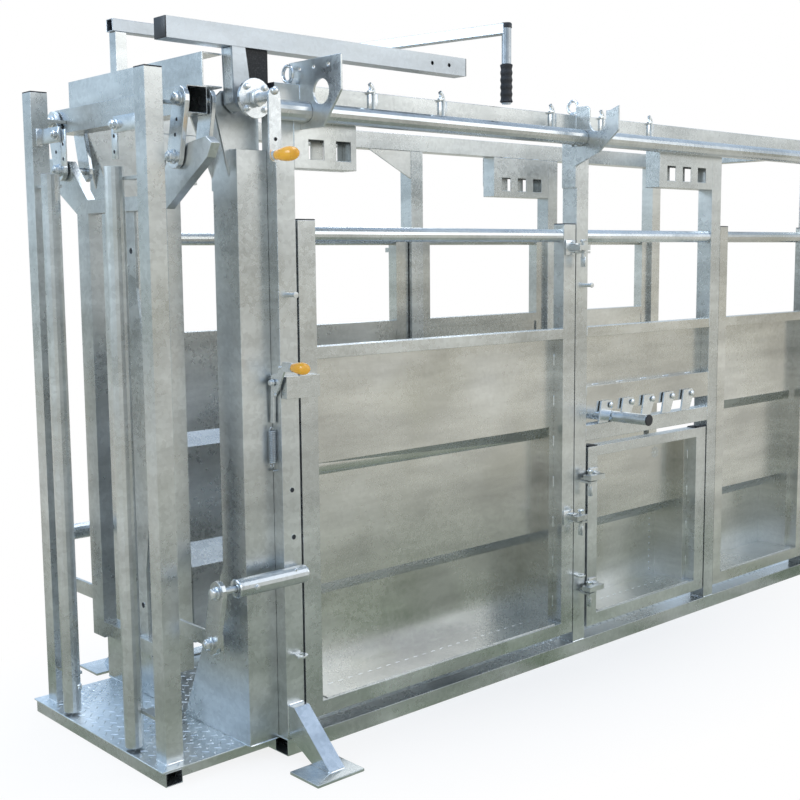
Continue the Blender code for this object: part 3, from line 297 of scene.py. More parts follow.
# %% [markdown]
# ## A small kit for new pieces
# Every added piece starts from a bmesh primitive or a few points and is shaped with operators. The
# helpers cover what fitters use: boxes with eased edges, turned parts, hexagon bolts and bent rod.


# %% Piece helpers
def facing(axis):
    """A turn that points the local +Z along axis."""
    return Vector(axis).to_track_quat("Z", "Y").to_matrix().to_4x4()


def at(point, axis=(0, 0, 1)):
    """A place at point with local +Z along axis."""
    return Matrix.Translation(point) @ facing(axis)


def ease_edges(shape, edges, offset, segments=2):
    """Rounds edges off."""
    bmesh.ops.bevel(
        shape, geom=list(edges), offset=offset, segments=segments, profile=0.5, affect="EDGES", material=-1
    )


def add_box(shape, low, high, ease=0.0015):
    """A box between two corners, its edges eased."""
    size = Vector(high) - Vector(low)
    place = Matrix.Translation((Vector(low) + Vector(high)) / 2) @ Matrix.Diagonal((*size, 1))
    made = bmesh.ops.create_cube(shape, size=1, matrix=place)["verts"]
    ease_edges(shape, {edge for vert in made for edge in vert.link_edges}, min(ease, 0.3 * min(size)))


def add_turned(shape, profile, place, steps=20):
    """A part turned on a lathe: profile is (radius, height) points from axis to axis."""
    before = set(shape.verts)
    verts = [shape.verts.new((radius, 0, height)) for radius, height in profile]
    edges = [shape.edges.new(pair) for pair in zip(verts, verts[1:])]
    bmesh.ops.spin(
        shape, geom=verts + edges, cent=(0, 0, 0), axis=(0, 0, 1), angle=math.tau, steps=steps, use_merge=True
    )
    made = [vert for vert in shape.verts if vert not in before]
    bmesh.ops.remove_doubles(shape, verts=made, dist=1e-6)
    made = [vert for vert in shape.verts if vert not in before]
    bmesh.ops.transform(shape, matrix=place, verts=made)


def add_hexagon(shape, radius, height, place, ease):
    """A hexagon centred on a place, radius out to its corners."""
    made = bmesh.ops.create_cone(
        shape, cap_ends=True, segments=6, radius1=radius, radius2=radius, depth=height, matrix=place
    )["verts"]
    ease_edges(shape, {edge for vert in made for edge in vert.link_edges}, ease)


def add_bolt(shape, seat, axis, size, stub=0.0):
    """A washer and a hexagon head, size across its flats; stub is how far a thread stands out."""
    place = at(seat, axis)
    rim, thick, height = size * 0.72, size * 0.11, size * 0.55
    washer = [(0, 0), (rim, 0), (rim, thick * 0.8), (rim * 0.96, thick), (0, thick)]
    add_turned(shape, washer, place)
    lifted = place @ Matrix.Translation((0, 0, thick + height / 2))
    add_hexagon(shape, size / math.sqrt(3), height, lifted, size * 0.05)
    if stub:
        top, shank = thick + height, size * 0.3
        thread = [(0, top - 0.001), (shank, top - 0.001), (shank, top + stub * 0.8)]
        add_turned(shape, thread + [(shank * 0.8, top + stub), (0, top + stub)], place, 14)


def add_plate(shape, corners, y, thickness, ease):
    """A flat plate: its corners are X and Z pairs, and it grows from y by its thickness."""
    face = shape.faces.new([shape.verts.new((x, y, z)) for x, z in corners])
    made = bmesh.ops.extrude_face_region(shape, geom=[face])["geom"]
    moved = [part for part in made if isinstance(part, bmesh.types.BMVert)]
    bmesh.ops.translate(shape, verts=moved, vec=(0, thickness, 0))
    ease_edges(shape, shape.edges, ease, 1)


def add_rod(shape, start, heading, side, radius, moves, sides=10):
    """A bent round rod. Each move is ("run", length) or ("bend", degrees, radius) towards side."""
    heading, side, where = Vector(heading).normalized(), Vector(side).normalized(), Vector(start)
    ring = bmesh.ops.create_circle(
        shape, cap_ends=True, segments=sides, radius=radius, matrix=at(where, heading)
    )["verts"]
    end = ring[0].link_faces[0]
    for move in moves:
        if move[0] == "run":
            made = bmesh.ops.extrude_face_region(shape, geom=[end])["geom"]
            verts = [part for part in made if isinstance(part, bmesh.types.BMVert)]
            bmesh.ops.translate(shape, verts=verts, vec=heading * move[1])
            where += heading * move[1]
        else:
            angle, around = math.radians(move[1]), move[2]
            axis = heading.cross(side)
            centre = where + side * around
            steps = max(3, round(abs(move[1]) / 15))
            swept = [end, *end.edges, *end.verts]
            made = bmesh.ops.spin(
                shape, geom=swept, cent=centre, axis=axis, angle=angle, steps=steps
            )["geom_last"]
            turn = Matrix.Rotation(angle, 3, axis)
            where = centre + turn @ (where - centre)
            heading, side = turn @ heading, turn @ side
        end = next(part for part in made if isinstance(part, bmesh.types.BMFace))


def add_bead(shape, start, end, radius, ripple=0.006):
    """A weld bead: a flattened row of overlapping ripples from start to end."""
    start, end = Vector(start), Vector(end)
    length = (end - start).length
    count = max(2, round(length / ripple))
    profile = [(0, 0)]
    for step in range(count * 2 + 1):
        share = step / (count * 2)
        swell = radius * (0.82 if step % 2 else 1.0) * min(1.0, 5 * share + 0.5, 5 * (1 - share) + 0.5)
        profile.append((swell, length * share))
    add_turned(shape, profile + [(0, length)], at(start, end - start), 6)


def finish_piece(name, shape, material, body, smooth=40):
    """Makes the piece's object, shades it and, where a body is given, lets it ride on it."""
    bmesh.ops.recalc_face_normals(shape, faces=shape.faces)
    mesh = bpy.data.meshes.new(name)
    shape.to_mesh(mesh)
    shape.free()
    mesh.materials.append(material)
    mesh.shade_smooth()
    mesh.set_sharp_from_angle(angle=math.radians(smooth))
    piece = bpy.data.objects.new(name, mesh)
    scene.collection.objects.link(piece)
    if body:
        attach(piece, body)
    return piece


# %% [markdown]
# ## Black caps in the tube ends
# Open tubes whistle, rust and house wasps, so each open end is closed with a push-in cap. A cap is
# a thin plate with a slightly domed, eased edge. It could be a scaled cube with a bevel modifier,
# but easing its edges right away keeps the piece finished and light.


# %% Caps
CAP = 0.004


def cap(name, low, high, body, ease=0.0022):
    """One square cap between two corners."""
    shape = bmesh.new()
    add_box(shape, low, high, ease)
    finish_piece(name, shape, black_cap, body)


def top_cap(name, x, y, top, body):
    """A cap on an upright's top, over its X and Y spans."""
    cap(name, (x[0], y[0], top), (x[1], y[1], top + CAP), body)


for side, sign in SIDES:
    post_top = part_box(f"{side}_gate_post")[1].z
    top_cap(f"{side}_gate_post_cap", GATE_POST_X, across(sign, GATE_POST_Y), post_top, "root")

panel_low, panel_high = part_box("near_door_panel")
half_low, half_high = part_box("half_door_panel")
door_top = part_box("near_door_frame")[1].z
half_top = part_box("half_door_frame")[1].z
latch_stile = panel_low.x - TUBE_GAP - STILE
hinge_stile = panel_high.x + TUBE_GAP
half_stile = half_low.x - TUBE_GAP - HALF_STILE
free_stile = half_high.x + TUBE_GAP
frame_y = {"near": (OUTER_FACE, OUTER_FACE + FRAME_DEPTH)}
frame_y["far"] = (-frame_y["near"][1], -frame_y["near"][0])
for side, _ in SIDES:
    for end, x in (("latch", latch_stile), ("hinge", hinge_stile)):
        top_cap(f"{side}_door_cap_{end}", (x, x + STILE), frame_y[side], door_top, f"{side}_door")
for end, x, width in (("hinge", half_stile, HALF_STILE), ("free", free_stile, STILE + 0.001)):
    top_cap(f"half_door_cap_{end}", (x, x + width), frame_y["near"], half_top, "half_door")
for name in ("far_middle_panel", "near_rear_panel", "far_rear_panel"):
    low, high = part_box(name)
    end_post = 0 if name == "far_middle_panel" else TUBE
    for end, x in (("front", low.x), ("rear", high.x - end_post - HALF_STILE)):
        top_cap(f"{name}_cap_{end}", (x, x + HALF_STILE), frame_y[name.split("_")[0]], door_top, "root")

lever_low, lever_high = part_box("head_lever")
lever_tube_low = lever_high.z - 0.06
for end, x in (("front", lever_low.x - CAP), ("rear", lever_high.x)):
    corner, opposite = (x, lever_low.y, lever_tube_low), (x + CAP, lever_high.y, lever_high.z)
    cap(f"head_lever_cap_{end}", corner, opposite, "head_lever")
beam_low, beam_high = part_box("near_top_beam")
beam_y = {"near": (beam_low.y, beam_high.y), "far": (-beam_high.y, -beam_low.y)}
for side, y in beam_y.items():
    corner, opposite = (beam_low.x - CAP, y[0], beam_low.z), (beam_low.x, y[1], beam_high.z)
    cap(f"{side}_beam_cap_front", corner, opposite, "root")
bar_low, bar_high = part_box("anti_back_bar")
bar_middle, bar_r = (bar_low + bar_high) / 2, (bar_high.z - bar_low.z) / 2
for end, y, out_y in (("near", bar_low.y, -1), ("far", bar_high.y, 1)):
    shape = bmesh.new()
    lid = [(0, -0.010), (bar_r - 0.0032, -0.010), (bar_r - 0.0032, 0), (bar_r + 0.0008, 0)]
    lid += [(bar_r + 0.0008, 0.0035), (bar_r - 0.001, 0.0055), (0, 0.006)]
    add_turned(shape, lid, at((bar_middle.x, y, bar_middle.z), (0, out_y, 0)), 28)
    finish_piece(f"bar_cap_{end}", shape, black_cap, "anti_back_bar")
inside = 0.0035  # the tube's wall and a little play
for side, y in beam_y.items():
    corner = (beam_high.x - inside, y[0] + inside, beam_low.z + inside)
    opposite = (beam_high.x - 0.0002, y[1] - inside, beam_high.z - inside)
    cap(f"{side}_beam_plug_rear", corner, opposite, "root")
print("caps made")

# %% [markdown]
# ## Hand knobs and the long grip
# Round handles deserve more facets than a construction model spends on them. A scaled sphere has
# two equal ends, so an egg outline with a blunt outer end is spun round its spindle instead. The
# grip of the second lever's arm is spun too, with five finger waves.


# %% Knobs and grip
def egg(radius, length, widest=0.60, rings=22):
    """Outline of an egg-shaped knob from its neck to its blunt tip, widest at a share of its length."""
    outline = [(0, 0), (radius * 0.50, 0)]
    for ring in range(1, rings + 1):
        share = ring / rings
        if share < widest:
            swell = 0.55 + 0.45 * math.sin(math.pi / 2 * share / widest)
        else:
            swell = max(0.0, 1 - ((share - widest) / (1 - widest)) ** 2.3) ** 0.5
        outline.append((radius * swell, length * share))
    outline[-1] = (0, length)
    return outline


def knob(name, node, body, radius, length):
    """A knob that stands in for the construction piece, a little slimmer and with a finer outline."""
    low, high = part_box(node)
    centre = (low + high) / 2
    spindle = at((centre.x, high.y, centre.z), (0, -1, 0))
    shape = bmesh.new()
    add_turned(shape, egg(radius * 0.9, length * 0.94), spindle, 40)
    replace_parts(finish_piece(name, shape, amber_knob, body, 60), node)
    ring = bmesh.new()
    collar = [(0, -0.001), (radius * 0.62, -0.001), (radius * 0.62, 0.006), (0, 0.006)]
    add_turned(ring, collar, spindle, 24)
    finish_piece(name + "_collar", ring, zinc_bright, body)


knob("latch_hand_knob", "latch_knob", "latch", 0.021, 0.085)
knob("crank_hand_knob", "crank_knob", "crank_knob", 0.023, 0.11)

low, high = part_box("lever_grip")
grip_at = (low + high) / 2
shape = bmesh.new()
grip_length = high.z - low.z
waves = [(0, 0), (0.0175, 0), (0.0235, 0.004)]
for ring in range(1, 41):
    share = ring / 41
    waves.append((0.0208 + 0.0012 * math.cos(share * 5 * math.tau), 0.006 + (grip_length - 0.012) * share))
waves += [(0.0225, grip_length - 0.003), (0.0178, grip_length), (0, grip_length)]
add_turned(shape, waves, at((grip_at.x, grip_at.y, low.z)), 32)
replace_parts(finish_piece("arm_hand_grip", shape, black_grip, "grip_arm", 50), "lever_grip")
arm_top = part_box("grip_arm")[1].z
shape = bmesh.new()
tip = [(0, 0), (0.0192, 0), (0.0192, 0.014), (0.0165, 0.0175), (0, 0.0178)]
add_turned(shape, tip, at((grip_at.x, grip_at.y, arm_top - 0.0175)), 28)
finish_piece("arm_tip_cap", shape, black_cap, "grip_arm")
print("grip at", tuple(round(value, 3) for value in grip_at))

# %% [markdown]
# ## The latch spring
# The spring joins the fixed stud on the post to the lever's tail, so it stretches as the lever
# turns. A rigid stand-in would detach itself from one end. The coil is made over the whole
# length as one fixed piece that rides on no body.

# %% Spring
low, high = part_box("latch_spring")
middle = (low + high) / 2
coil_low, coil_high = low.z + 0.020, high.z - 0.018
coil_axis = middle - Vector((0.005, 0, 0))
coil_radius, wire = 0.0115, 0.0017
turns, steps_a_turn = 19, 14
shape = bmesh.new()
wire_start = at((coil_axis.x + coil_radius, middle.y, coil_low), (0, 1, 0.1))
ring = bmesh.ops.create_circle(shape, cap_ends=True, segments=8, radius=wire, matrix=wire_start)["verts"]
end = ring[0].link_faces[0]
bmesh.ops.spin(
    shape,
    geom=[end, *end.edges, *end.verts],
    cent=coil_axis,
    axis=(0, 0, 1),
    angle=math.tau * turns,
    steps=steps_a_turn * turns,
    dvec=(0, 0, (coil_high - coil_low) / (steps_a_turn * turns)),
)
for start, heading in ((coil_low, -1), (coil_high, 1)):
    end_z = low.z if heading < 0 else high.z
    run = abs(end_z - start) - 0.004
    foot = (middle.x - 0.001, middle.y, start - heading * 0.001)
    loop = [("run", run * 0.5), ("bend", 180, 0.0055), ("run", run * 0.3)]
    add_rod(shape, foot, (0, 0, heading), (-1, 0, 0), wire, loop, 8)
coil = finish_piece("latch_coil", shape, zinc_bright, None, smooth=180)
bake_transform(coil)
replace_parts(coil, "latch_spring")
print("spring from", round(low.z, 3), "to", round(high.z, 3))

# %% [markdown]
# ## Bolts on the pivots
# The links of the head gate hang on bolts with washers, and the crank's flange is held by four
# small bolts round a large nut. A plain pin end would look unfinished. Each bolt rides on the body
# that owns its pin, so nothing is left behind when the gate opens.

# %% Bolts
link_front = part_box("near_front_link")[0].x
rear_link_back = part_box("near_rear_link")[1].x
bolt_face = link_front - 0.0004
swing = Vector((0.040, -0.165))  # from a link's upper pin to its lower one, in Y and Z
upper_pin = Vector((-0.402, 2.06))
shaft_pin = Vector((-SLEEVE_Y, SLEEVE_Z))
leaf_pin = upper_pin + swing
gate_bolts = bmesh.new()
for name, sign in SIDES:
    add_bolt(gate_bolts, (bolt_face, -sign * upper_pin.x, upper_pin.y), (-1, 0, 0), 0.030, 0.004)
    shape = bmesh.new()
    for pin in (leaf_pin, shaft_pin + swing):
        add_bolt(shape, (bolt_face, -sign * pin.x, pin.y), (-1, 0, 0), 0.030, 0.004)
    add_bolt(shape, (rear_link_back + 0.0004, -sign * leaf_pin.x, leaf_pin.y), (1, 0, 0), 0.026)
    finish_piece(f"{name}_leaf_bolts", shape, zinc_bright, f"{name}_gate_leaf")
    shape = bmesh.new()
    add_bolt(shape, (bolt_face, -sign * shaft_pin.x, shaft_pin.y), (-1, 0, 0), 0.030)
    finish_piece(f"{name}_shaft_bolt", shape, zinc_bright, f"{name}_lower_link")
finish_piece("header_bolts", gate_bolts, zinc_bright, "root")

# %% Crank and lever bolts
crank_face, flange_face, bolt_circle = -0.6345, -0.542, 0.044
shape = bmesh.new()
for quarter in range(4):
    angle = math.radians(45 + 90 * quarter)
    seat_x, seat_z = SHAFT_X + bolt_circle * math.cos(angle), SHAFT_Z + bolt_circle * math.sin(angle)
    add_bolt(shape, (seat_x, flange_face, seat_z), (0, -1, 0), 0.014)
add_hexagon(shape, 0.027, 0.02, at((SHAFT_X, flange_face - 0.010, SHAFT_Z), (0, -1, 0)), 0.002)
dome = [(0, 0), (0.0115, 0), (0.0115, 0.004), (0.009, 0.0085), (0.005, 0.0105), (0, 0.011)]
add_turned(shape, dome, at((SHAFT_X, crank_face, SHAFT_Z + 0.012), (0, -1, 0)), 24)
finish_piece("crank_bolts", shape, zinc_bright, "crank")

web = bmesh.new()
lever_y = (lever_low.y + lever_high.y) / 2
corners = [(-1.5695, 2.052), (-1.5742, 2.2140), (-1.5692, 2.2140), (-1.5645, 2.052)]
add_plate(web, corners, lever_y - 0.0279, 0.0558, 0.001)
finish_piece("lever_bracket_web", web, zinc_bright, "head_lever")

# %% Latch bolts and pawl pins
lever_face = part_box("latch_lever")[0].x
shape = bmesh.new()
add_bolt(shape, (lever_face - 0.0042, -0.480, 1.21), (-1, 0, 0), 0.016)
finish_piece("latch_pivot_bolt", shape, zinc_bright, "root")
shape = bmesh.new()
for y, z in ((-0.515, 1.2585), (-0.490, 1.172)):
    add_bolt(shape, (lever_face, y, z), (-1, 0, 0), 0.008)
finish_piece("latch_lever_bolts", shape, zinc_bright, "latch")

for index in range(5):
    low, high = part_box(f"pawl_{index + 1}")
    shape = bmesh.new()
    head = [(0, 0), (0.0125, 0), (0.0125, 0.002), (0.008, 0.006), (0, 0.007)]
    add_turned(shape, head, at((high.x - 0.012, low.y - 0.004, 0.995), (0, -1, 0)), 20)
    finish_piece(f"pawl_pin_head_{index + 1}", shape, zinc_bright, "root")
print("bolts made")

# %% [markdown]
# ## Hinges
# Each hinge is a lug with an upright pin on the post and a knuckle on the gate. A fitter adds a
# strap that spreads the load on the gate's upright, a cap that keeps the knuckle on its pin, and a
# tab below that stops the pin from turning. Straps ride on the gate; caps and tabs stay fixed.


# %% Hinge fittings
def hinge(name, body, x, z, side, toward, strap_x):
    """Fittings of one hinge: z is its lug's underside, side its sign, toward the way from pin to gate."""
    axis_y = side * (abs(OUTER_FACE) + 0.035)
    face = abs(OUTER_FACE) + 0.0004
    strap = bmesh.new()
    y = across(side, (face, face + 0.006))
    add_box(strap, (strap_x[0], y[0], z - 0.006), (strap_x[1], y[1], z + 0.050), 0.0018)
    heel = strap_x[1] if toward < 0 else strap_x[0]
    ear_x, ear_y = sorted((heel, heel + toward * 0.030)), across(side, (face, face + 0.030))
    for ear_z in (z + 0.0085, z + 0.0355):
        low, high = ear_z - 0.0025, ear_z + 0.0025
        add_box(strap, (ear_x[0], ear_y[0], low), (ear_x[1], ear_y[1], high), 0.001)
    finish_piece(f"{name}_strap", strap, zinc_bright, body)
    fixed = bmesh.new()
    head = [(0, 0), (0.013, 0), (0.0135, 0.0015), (0.0135, 0.0055), (0.011, 0.008), (0, 0.009)]
    add_turned(fixed, head, at((x, axis_y, z + 0.044)), 24)
    add_turned(fixed, [(0, 0), (0.008, 0), (0.008, 0.018), (0, 0.018)], at((x, axis_y, z - 0.018)), 16)
    add_box(fixed, (x - 0.0035, axis_y - 0.011, z - 0.052), (x + 0.0035, axis_y + 0.011, z - 0.014), 0.001)
    finish_piece(f"{name}_pin_cap", fixed, zinc_bright, "root")


for index, z in enumerate((0.55, 1.60)):
    for word, sign in SIDES:
        strap_x = (hinge_stile + 0.006, hinge_stile + 0.062)
        hinge(f"{word}_door_hinge_{index + 1}", f"{word}_door", -0.015, z, sign, -1, strap_x)
for index, z in enumerate((0.25, 0.70)):
    strap_x = (half_stile + 0.006, half_stile + 0.056)
    hinge(f"half_door_hinge_{index + 1}", "half_door", 0.04, z, -1, 1, strap_x)
print("hinges fitted")

# %% [markdown]
# ## Hooks, eyes, studs and the gate post's upper brackets
# Ropes, hoses and drop pins need somewhere to go. Five rod hooks and two eyes stand on the beam, and
# the posts carry welded studs, ring lugs and bolt holes. A hook is one round rod bent twice, made
# by extruding and spinning the same end face, which is how a hook is bent in the workshop.

# %% Small fittings
fittings = bmesh.new()
beam_middle = (OUTER_FACE + INNER_FACE) / 2
hook = [("run", 0.052), ("bend", 50, 0.030), ("run", 0.008), ("bend", -125, 0.016), ("run", 0.020)]
for x in (-1.049, -0.734, -0.163, 0.134, 0.444):
    add_box(fittings, (x - 0.020, OUTER_FACE - 0.005, 2.054), (x + 0.020, OUTER_FACE + 0.0003, 2.116))
    add_rod(fittings, (x, OUTER_FACE - 0.006, 2.066), (0, 0, 1), (-1, 0, 0), 0.0065, hook, 12)
eye_radius, eye_wire = 0.024, 0.0055
for x in (-1.362, 0.0):
    round_wire = [math.tau * step / 10 for step in range(11)]
    ring = [(eye_radius + eye_wire * math.cos(angle), eye_wire * math.sin(angle)) for angle in round_wire]
    add_turned(fittings, ring, at((x, beam_middle, BEAM_TOP + 0.034), (1, 0, 0)), 32)
    add_turned(fittings, [(0, 0), (0.012, 0), (0.012, 0.006), (0, 0.006)], at((x, beam_middle, BEAM_TOP)), 20)
for x, z in ((-1.397, 1.480), (0.045, 1.477)):
    stud = [(0, 0), (0.007, 0), (0.007, 0.026), (0.0095, 0.027), (0.0095, 0.032), (0, 0.033)]
    add_turned(fittings, stud, at((x, OUTER_FACE, z), (0, -1, 0)), 20)
for x, z in ((-1.392, 0.33), (0.003, 0.33)):
    ring = [(0.009, -0.004), (0.020, -0.0035), (0.021, 0), (0.020, 0.0035), (0.009, 0.004), (0.0085, 0)]
    add_turned(fittings, ring + [ring[0]], at((x, OUTER_FACE - 0.020, z)), 28)
    low, high = (x - 0.014, OUTER_FACE - 0.008, z - 0.0035), (x + 0.014, OUTER_FACE + 0.001, z + 0.0035)
    add_box(fittings, low, high)
finish_piece("near_side_fittings", fittings, zinc_bright, "root")

# %% Gate post brackets and the far gusset
brackets = bmesh.new()
for _, side in SIDES:
    reach, root, tab = (across(side, span) for span in ((0.175, 0.324), (0.318, 0.335), (0.148, 0.182)))
    add_box(brackets, (-1.806, reach[0], 1.972), (-1.798, reach[1], 2.022), 0.002)
    add_box(brackets, (-1.812, root[0], 1.968), (-1.792, root[1], 2.026), 0.001)
    add_bolt(brackets, (-1.806, side * 0.190, 1.997), (-1, 0, 0), 0.024, 0.006)
    add_box(brackets, (-1.7975, tab[0], 1.895), (-1.792, tab[1], 2.012), 0.0015)
    add_bolt(brackets, (-1.806, side * 0.185, 0.147), (-1, 0, 0), 0.020)
finish_piece("gate_post_brackets", brackets, zinc_bright, "root")

gusset = bmesh.new()
corners = [(-0.262, BEAM_WELD), (-0.017, BEAM_WELD), (-0.017, 1.930)]
add_plate(gusset, corners, -INNER_FACE - 0.0008, 0.006, 0.0012)
finish_piece("far_middle_gusset", gusset, zinc_sheet, "root")

# %% [markdown]
# ## Bolt holes as painted shade
# Several plates are drilled through. A Boolean would cut the wall, but a hole of this size only
# shows as a dark round spot with a bright rim. A thin near-black disc paints the shade inside the
# hole, and within a slightly raised zinc rim it looks the same and stays cheap.

# %% Holes
# A near-black material that paints the shade inside each drilled hole; it is not a colour of the steel.
hole_painted_shade, hole_tree, hole_shader = new_material("hole_painted_shade", 0.2, 0.8)
hole_place = add(hole_tree, "TexCoord", {}).outputs["Object"]
hole_noise = add(hole_tree, "TexNoise", {"Vector": hole_place, "Scale": 60})
hole_tree.links.new(
    mix(hole_tree, hole_noise.outputs[0], (0.012, 0.013, 0.015, 1), (0.035, 0.037, 0.04, 1)),
    hole_shader.inputs["Base Color"],
)


def holes(name, body, spots):
    """Drilled holes as discs of painted shade in zinc rims: each spot is (place on the face, axis out of the
    face, radius).
    """
    # dark gathers the discs of painted shade, and rims gathers the raised zinc rims round them
    dark, rims = bmesh.new(), bmesh.new()
    for point, axis, radius in spots:
        disc = [(0, -0.0005), (radius, -0.0005), (radius, 0.0004), (0, 0.0004)]
        add_turned(dark, disc, at(point, axis), 18)
        bore = radius * 0.98
        rim = [(bore, -0.0005), (radius * 1.16, -0.0005), (radius * 1.1, 0.0007), (bore, 0.0006)]
        add_turned(rims, rim + [rim[0]], at(point, axis), 18)
    finish_piece(f"{name}_dark", dark, hole_painted_shade, body)
    finish_piece(f"{name}_rims", rims, zinc_bright, body)


out, ahead = (0, -1, 0), (-1, 0, 0)
post_spots = [((x, OUTER_FACE, z), out, 0.008) for x, z in ((-1.403, 0.867), (-1.400, 0.715))]
tab_spots = [((-1.7975, sign * 0.165, z), ahead, 0.006) for _, sign in SIDES for z in (1.965, 1.918)]
holes("side_holes", "root", post_spots + tab_spots)
for word, sign in SIDES:
    neck_spots = [((-1.675, sign * 0.030, z), ahead, 0.0095) for z in (1.62, 0.45)]
    holes(f"{word}_neck_holes", f"{word}_gate_leaf", neck_spots)
    along_link = [upper_pin + swing * share for share in (0.36, 0.62)]
    link_spots = [((link_front, -sign * spot.x, spot.y), ahead, 0.006) for spot in along_link]
    holes(f"{word}_link_holes", f"{word}_front_link", link_spots)
holes("crank_hole", "crank", [((SHAFT_X, crank_face, SHAFT_Z - 0.125), out, 0.006)])
print("holes made")

# %% [markdown]
# ## Weld beads
# A welded frame shows its seams: short stitches where sheet meets tube and full beads round a foot.
# A bead could be a smooth tube, but the eye reads the ripple of a hand-held torch, so each bead is
# a row of shallow swellings. The beads of one body are kept together in one or two pieces.


# %% Welds
def stitches(shape, start, end, radius=0.0026, length=0.045, pitch=0.16):
    """A broken seam: beads of one length, repeated along the way."""
    start, end = Vector(start), Vector(end)
    total = (end - start).length
    count = max(1, int(total // pitch))
    along = (end - start) / total
    offset = (total - (count - 1) * pitch - length) / 2
    for index in range(count):
        first = start + along * (offset + index * pitch)
        add_bead(shape, first, first + along * length, radius)


def ring_of_stitches(shape, low, high, y):
    """Stitches along the four sides of a sheet in its frame."""
    stitches(shape, (low.x, y, low.z), (low.x, y, high.z))
    stitches(shape, (high.x, y, low.z), (high.x, y, high.z))
    stitches(shape, (low.x, y, low.z), (high.x, y, low.z))
    stitches(shape, (low.x, y, high.z), (high.x, y, high.z))


def stepped_sheet_welds(shape, low, high, sign):
    """The seams of a stepped sheet and the row of short plug welds along its low shelf."""
    face = abs(OUTER_FACE)
    ring_of_stitches(shape, low, high, sign * (face - 0.045))
    y, z = sign * (face - 0.105), low.z + 0.0018
    stitches(shape, (low.x + 0.05, y, z), (high.x - 0.05, y, z), 0.0022, 0.024, 0.044)


shape = bmesh.new()
stepped_sheet_welds(shape, panel_low, panel_high, -1)
keeper_x, keeper_y, keeper_z = latch_stile + 0.055, OUTER_FACE - 0.0005, (1.16, 1.23)
add_bead(shape, (keeper_x, keeper_y, keeper_z[0]), (keeper_x, keeper_y, keeper_z[1]), 0.003)
finish_piece("near_door_welds", shape, zinc_bright, "near_door")

shape = bmesh.new()
stepped_sheet_welds(shape, panel_low, panel_high, 1)
finish_piece("far_door_welds", shape, zinc_bright, "far_door")

shape = bmesh.new()
stepped_sheet_welds(shape, half_low, half_high, -1)
for index in range(9):
    spot = [(0, 0), (0.0045, 0), (0.0035, 0.0012), (0, 0.0016)]
    add_turned(shape, spot, at((0.752, OUTER_FACE + 0.1935, 0.18 + 0.029 * index), (0, -1, 0)), 10)
finish_piece("half_door_welds", shape, zinc_bright, "half_door")


# %% Frame welds
def foot_welds(shape, sign, x, y, radius):
    """Beads round an upright's foot on the floor plate, open at its back."""
    z = FLOOR_TOP + 0.001
    inner, outer = (sign * distance for distance in y)
    for edge in (inner, outer):
        add_bead(shape, (x[0], edge, z), (x[1], edge, z), radius)
    add_bead(shape, (x[0], inner, z), (x[0], outer, z), radius)


shape = bmesh.new()
for _, sign in SIDES:
    outer, inner = sign * abs(OUTER_FACE), sign * abs(INNER_FACE)
    foot_welds(shape, sign, COLUMN_X, COLUMN_Y, 0.0035)
    foot_welds(shape, sign, GATE_POST_X, GATE_POST_Y, 0.003)
    for name in ("near_front_bar_box", "near_rear_bar_box"):
        low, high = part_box(name)
        for y in (sign * abs(low.y), sign * abs(high.y)):
            stitches(shape, (low.x, y, high.z), (high.x, y, high.z), 0.0028, 0.05, 0.1)
        y = sign * abs(low.y)
        add_bead(shape, (low.x, y, low.z + 0.05), (low.x, y, high.z), 0.0025)
    for post in POSTS:
        for z in (BASE_WELD, BEAM_WELD):
            add_bead(shape, (post, outer, z), (post + TUBE, outer, z), 0.0028)
            for x in (post, post + TUBE):
                add_bead(shape, (x, outer, z), (x, inner, z), 0.003)
    leg_x, leg_y, leg_z = (-1.435, -1.375), sign * (abs(OUTER_FACE) + 0.0003), (0.07, 0.17)
    toe, heel, plate_top = sign * 0.709, sign * 0.620, 0.0105
    for x in leg_x:
        add_bead(shape, (x, leg_y, leg_z[0]), (x, leg_y, leg_z[1]), 0.0035)
        add_bead(shape, (x, toe, plate_top), (x, heel, plate_top), 0.0032)
    add_bead(shape, (leg_x[0], leg_y, 0.171), (leg_x[1], leg_y, 0.171), 0.0035)
    add_bead(shape, (leg_x[0], toe, plate_top), (leg_x[1], toe, plate_top), 0.0032)
finish_piece("frame_welds", shape, zinc_bright, "root")

# %% Upper welds
shape = bmesh.new()
bay_x, sheet_edges, rail_middles = (0.0553, 0.8997), (1.078, 1.274), (0.893, 1.061, 1.2935)
for y in (OUTER_FACE + 0.040, -(OUTER_FACE + 0.040)):
    for z in sheet_edges:
        stitches(shape, (bay_x[0], y, z), (bay_x[1], y, z))
for x in (0.0556, 0.8994):
    for z in rail_middles:
        y = OUTER_FACE + 0.0005
        add_bead(shape, (x, y, z - 0.018), (x, y, z + 0.018), 0.0025)
for name in ("front_pole_bracket", "rear_pole_bracket"):
    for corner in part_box(name):
        y = OUTER_FACE - 0.0003
        add_bead(shape, (corner.x, y, 2.068), (corner.x, y, 2.118), 0.003)
bracket_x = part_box("front_pole_bracket")[0].x
add_bead(shape, (bracket_x, OUTER_FACE, BEAM_TOP), (bracket_x, -0.449, BEAM_TOP), 0.003)
finish_piece("upper_welds", shape, zinc_bright, "root")
print("welds made")

# %% [markdown]
# ## Sleeve ends and the half-door's rosette
# The sleeve on each column gets a flange at both ends and a grease nipple, and the half-door's sheet
# carries a round pressed rosette.

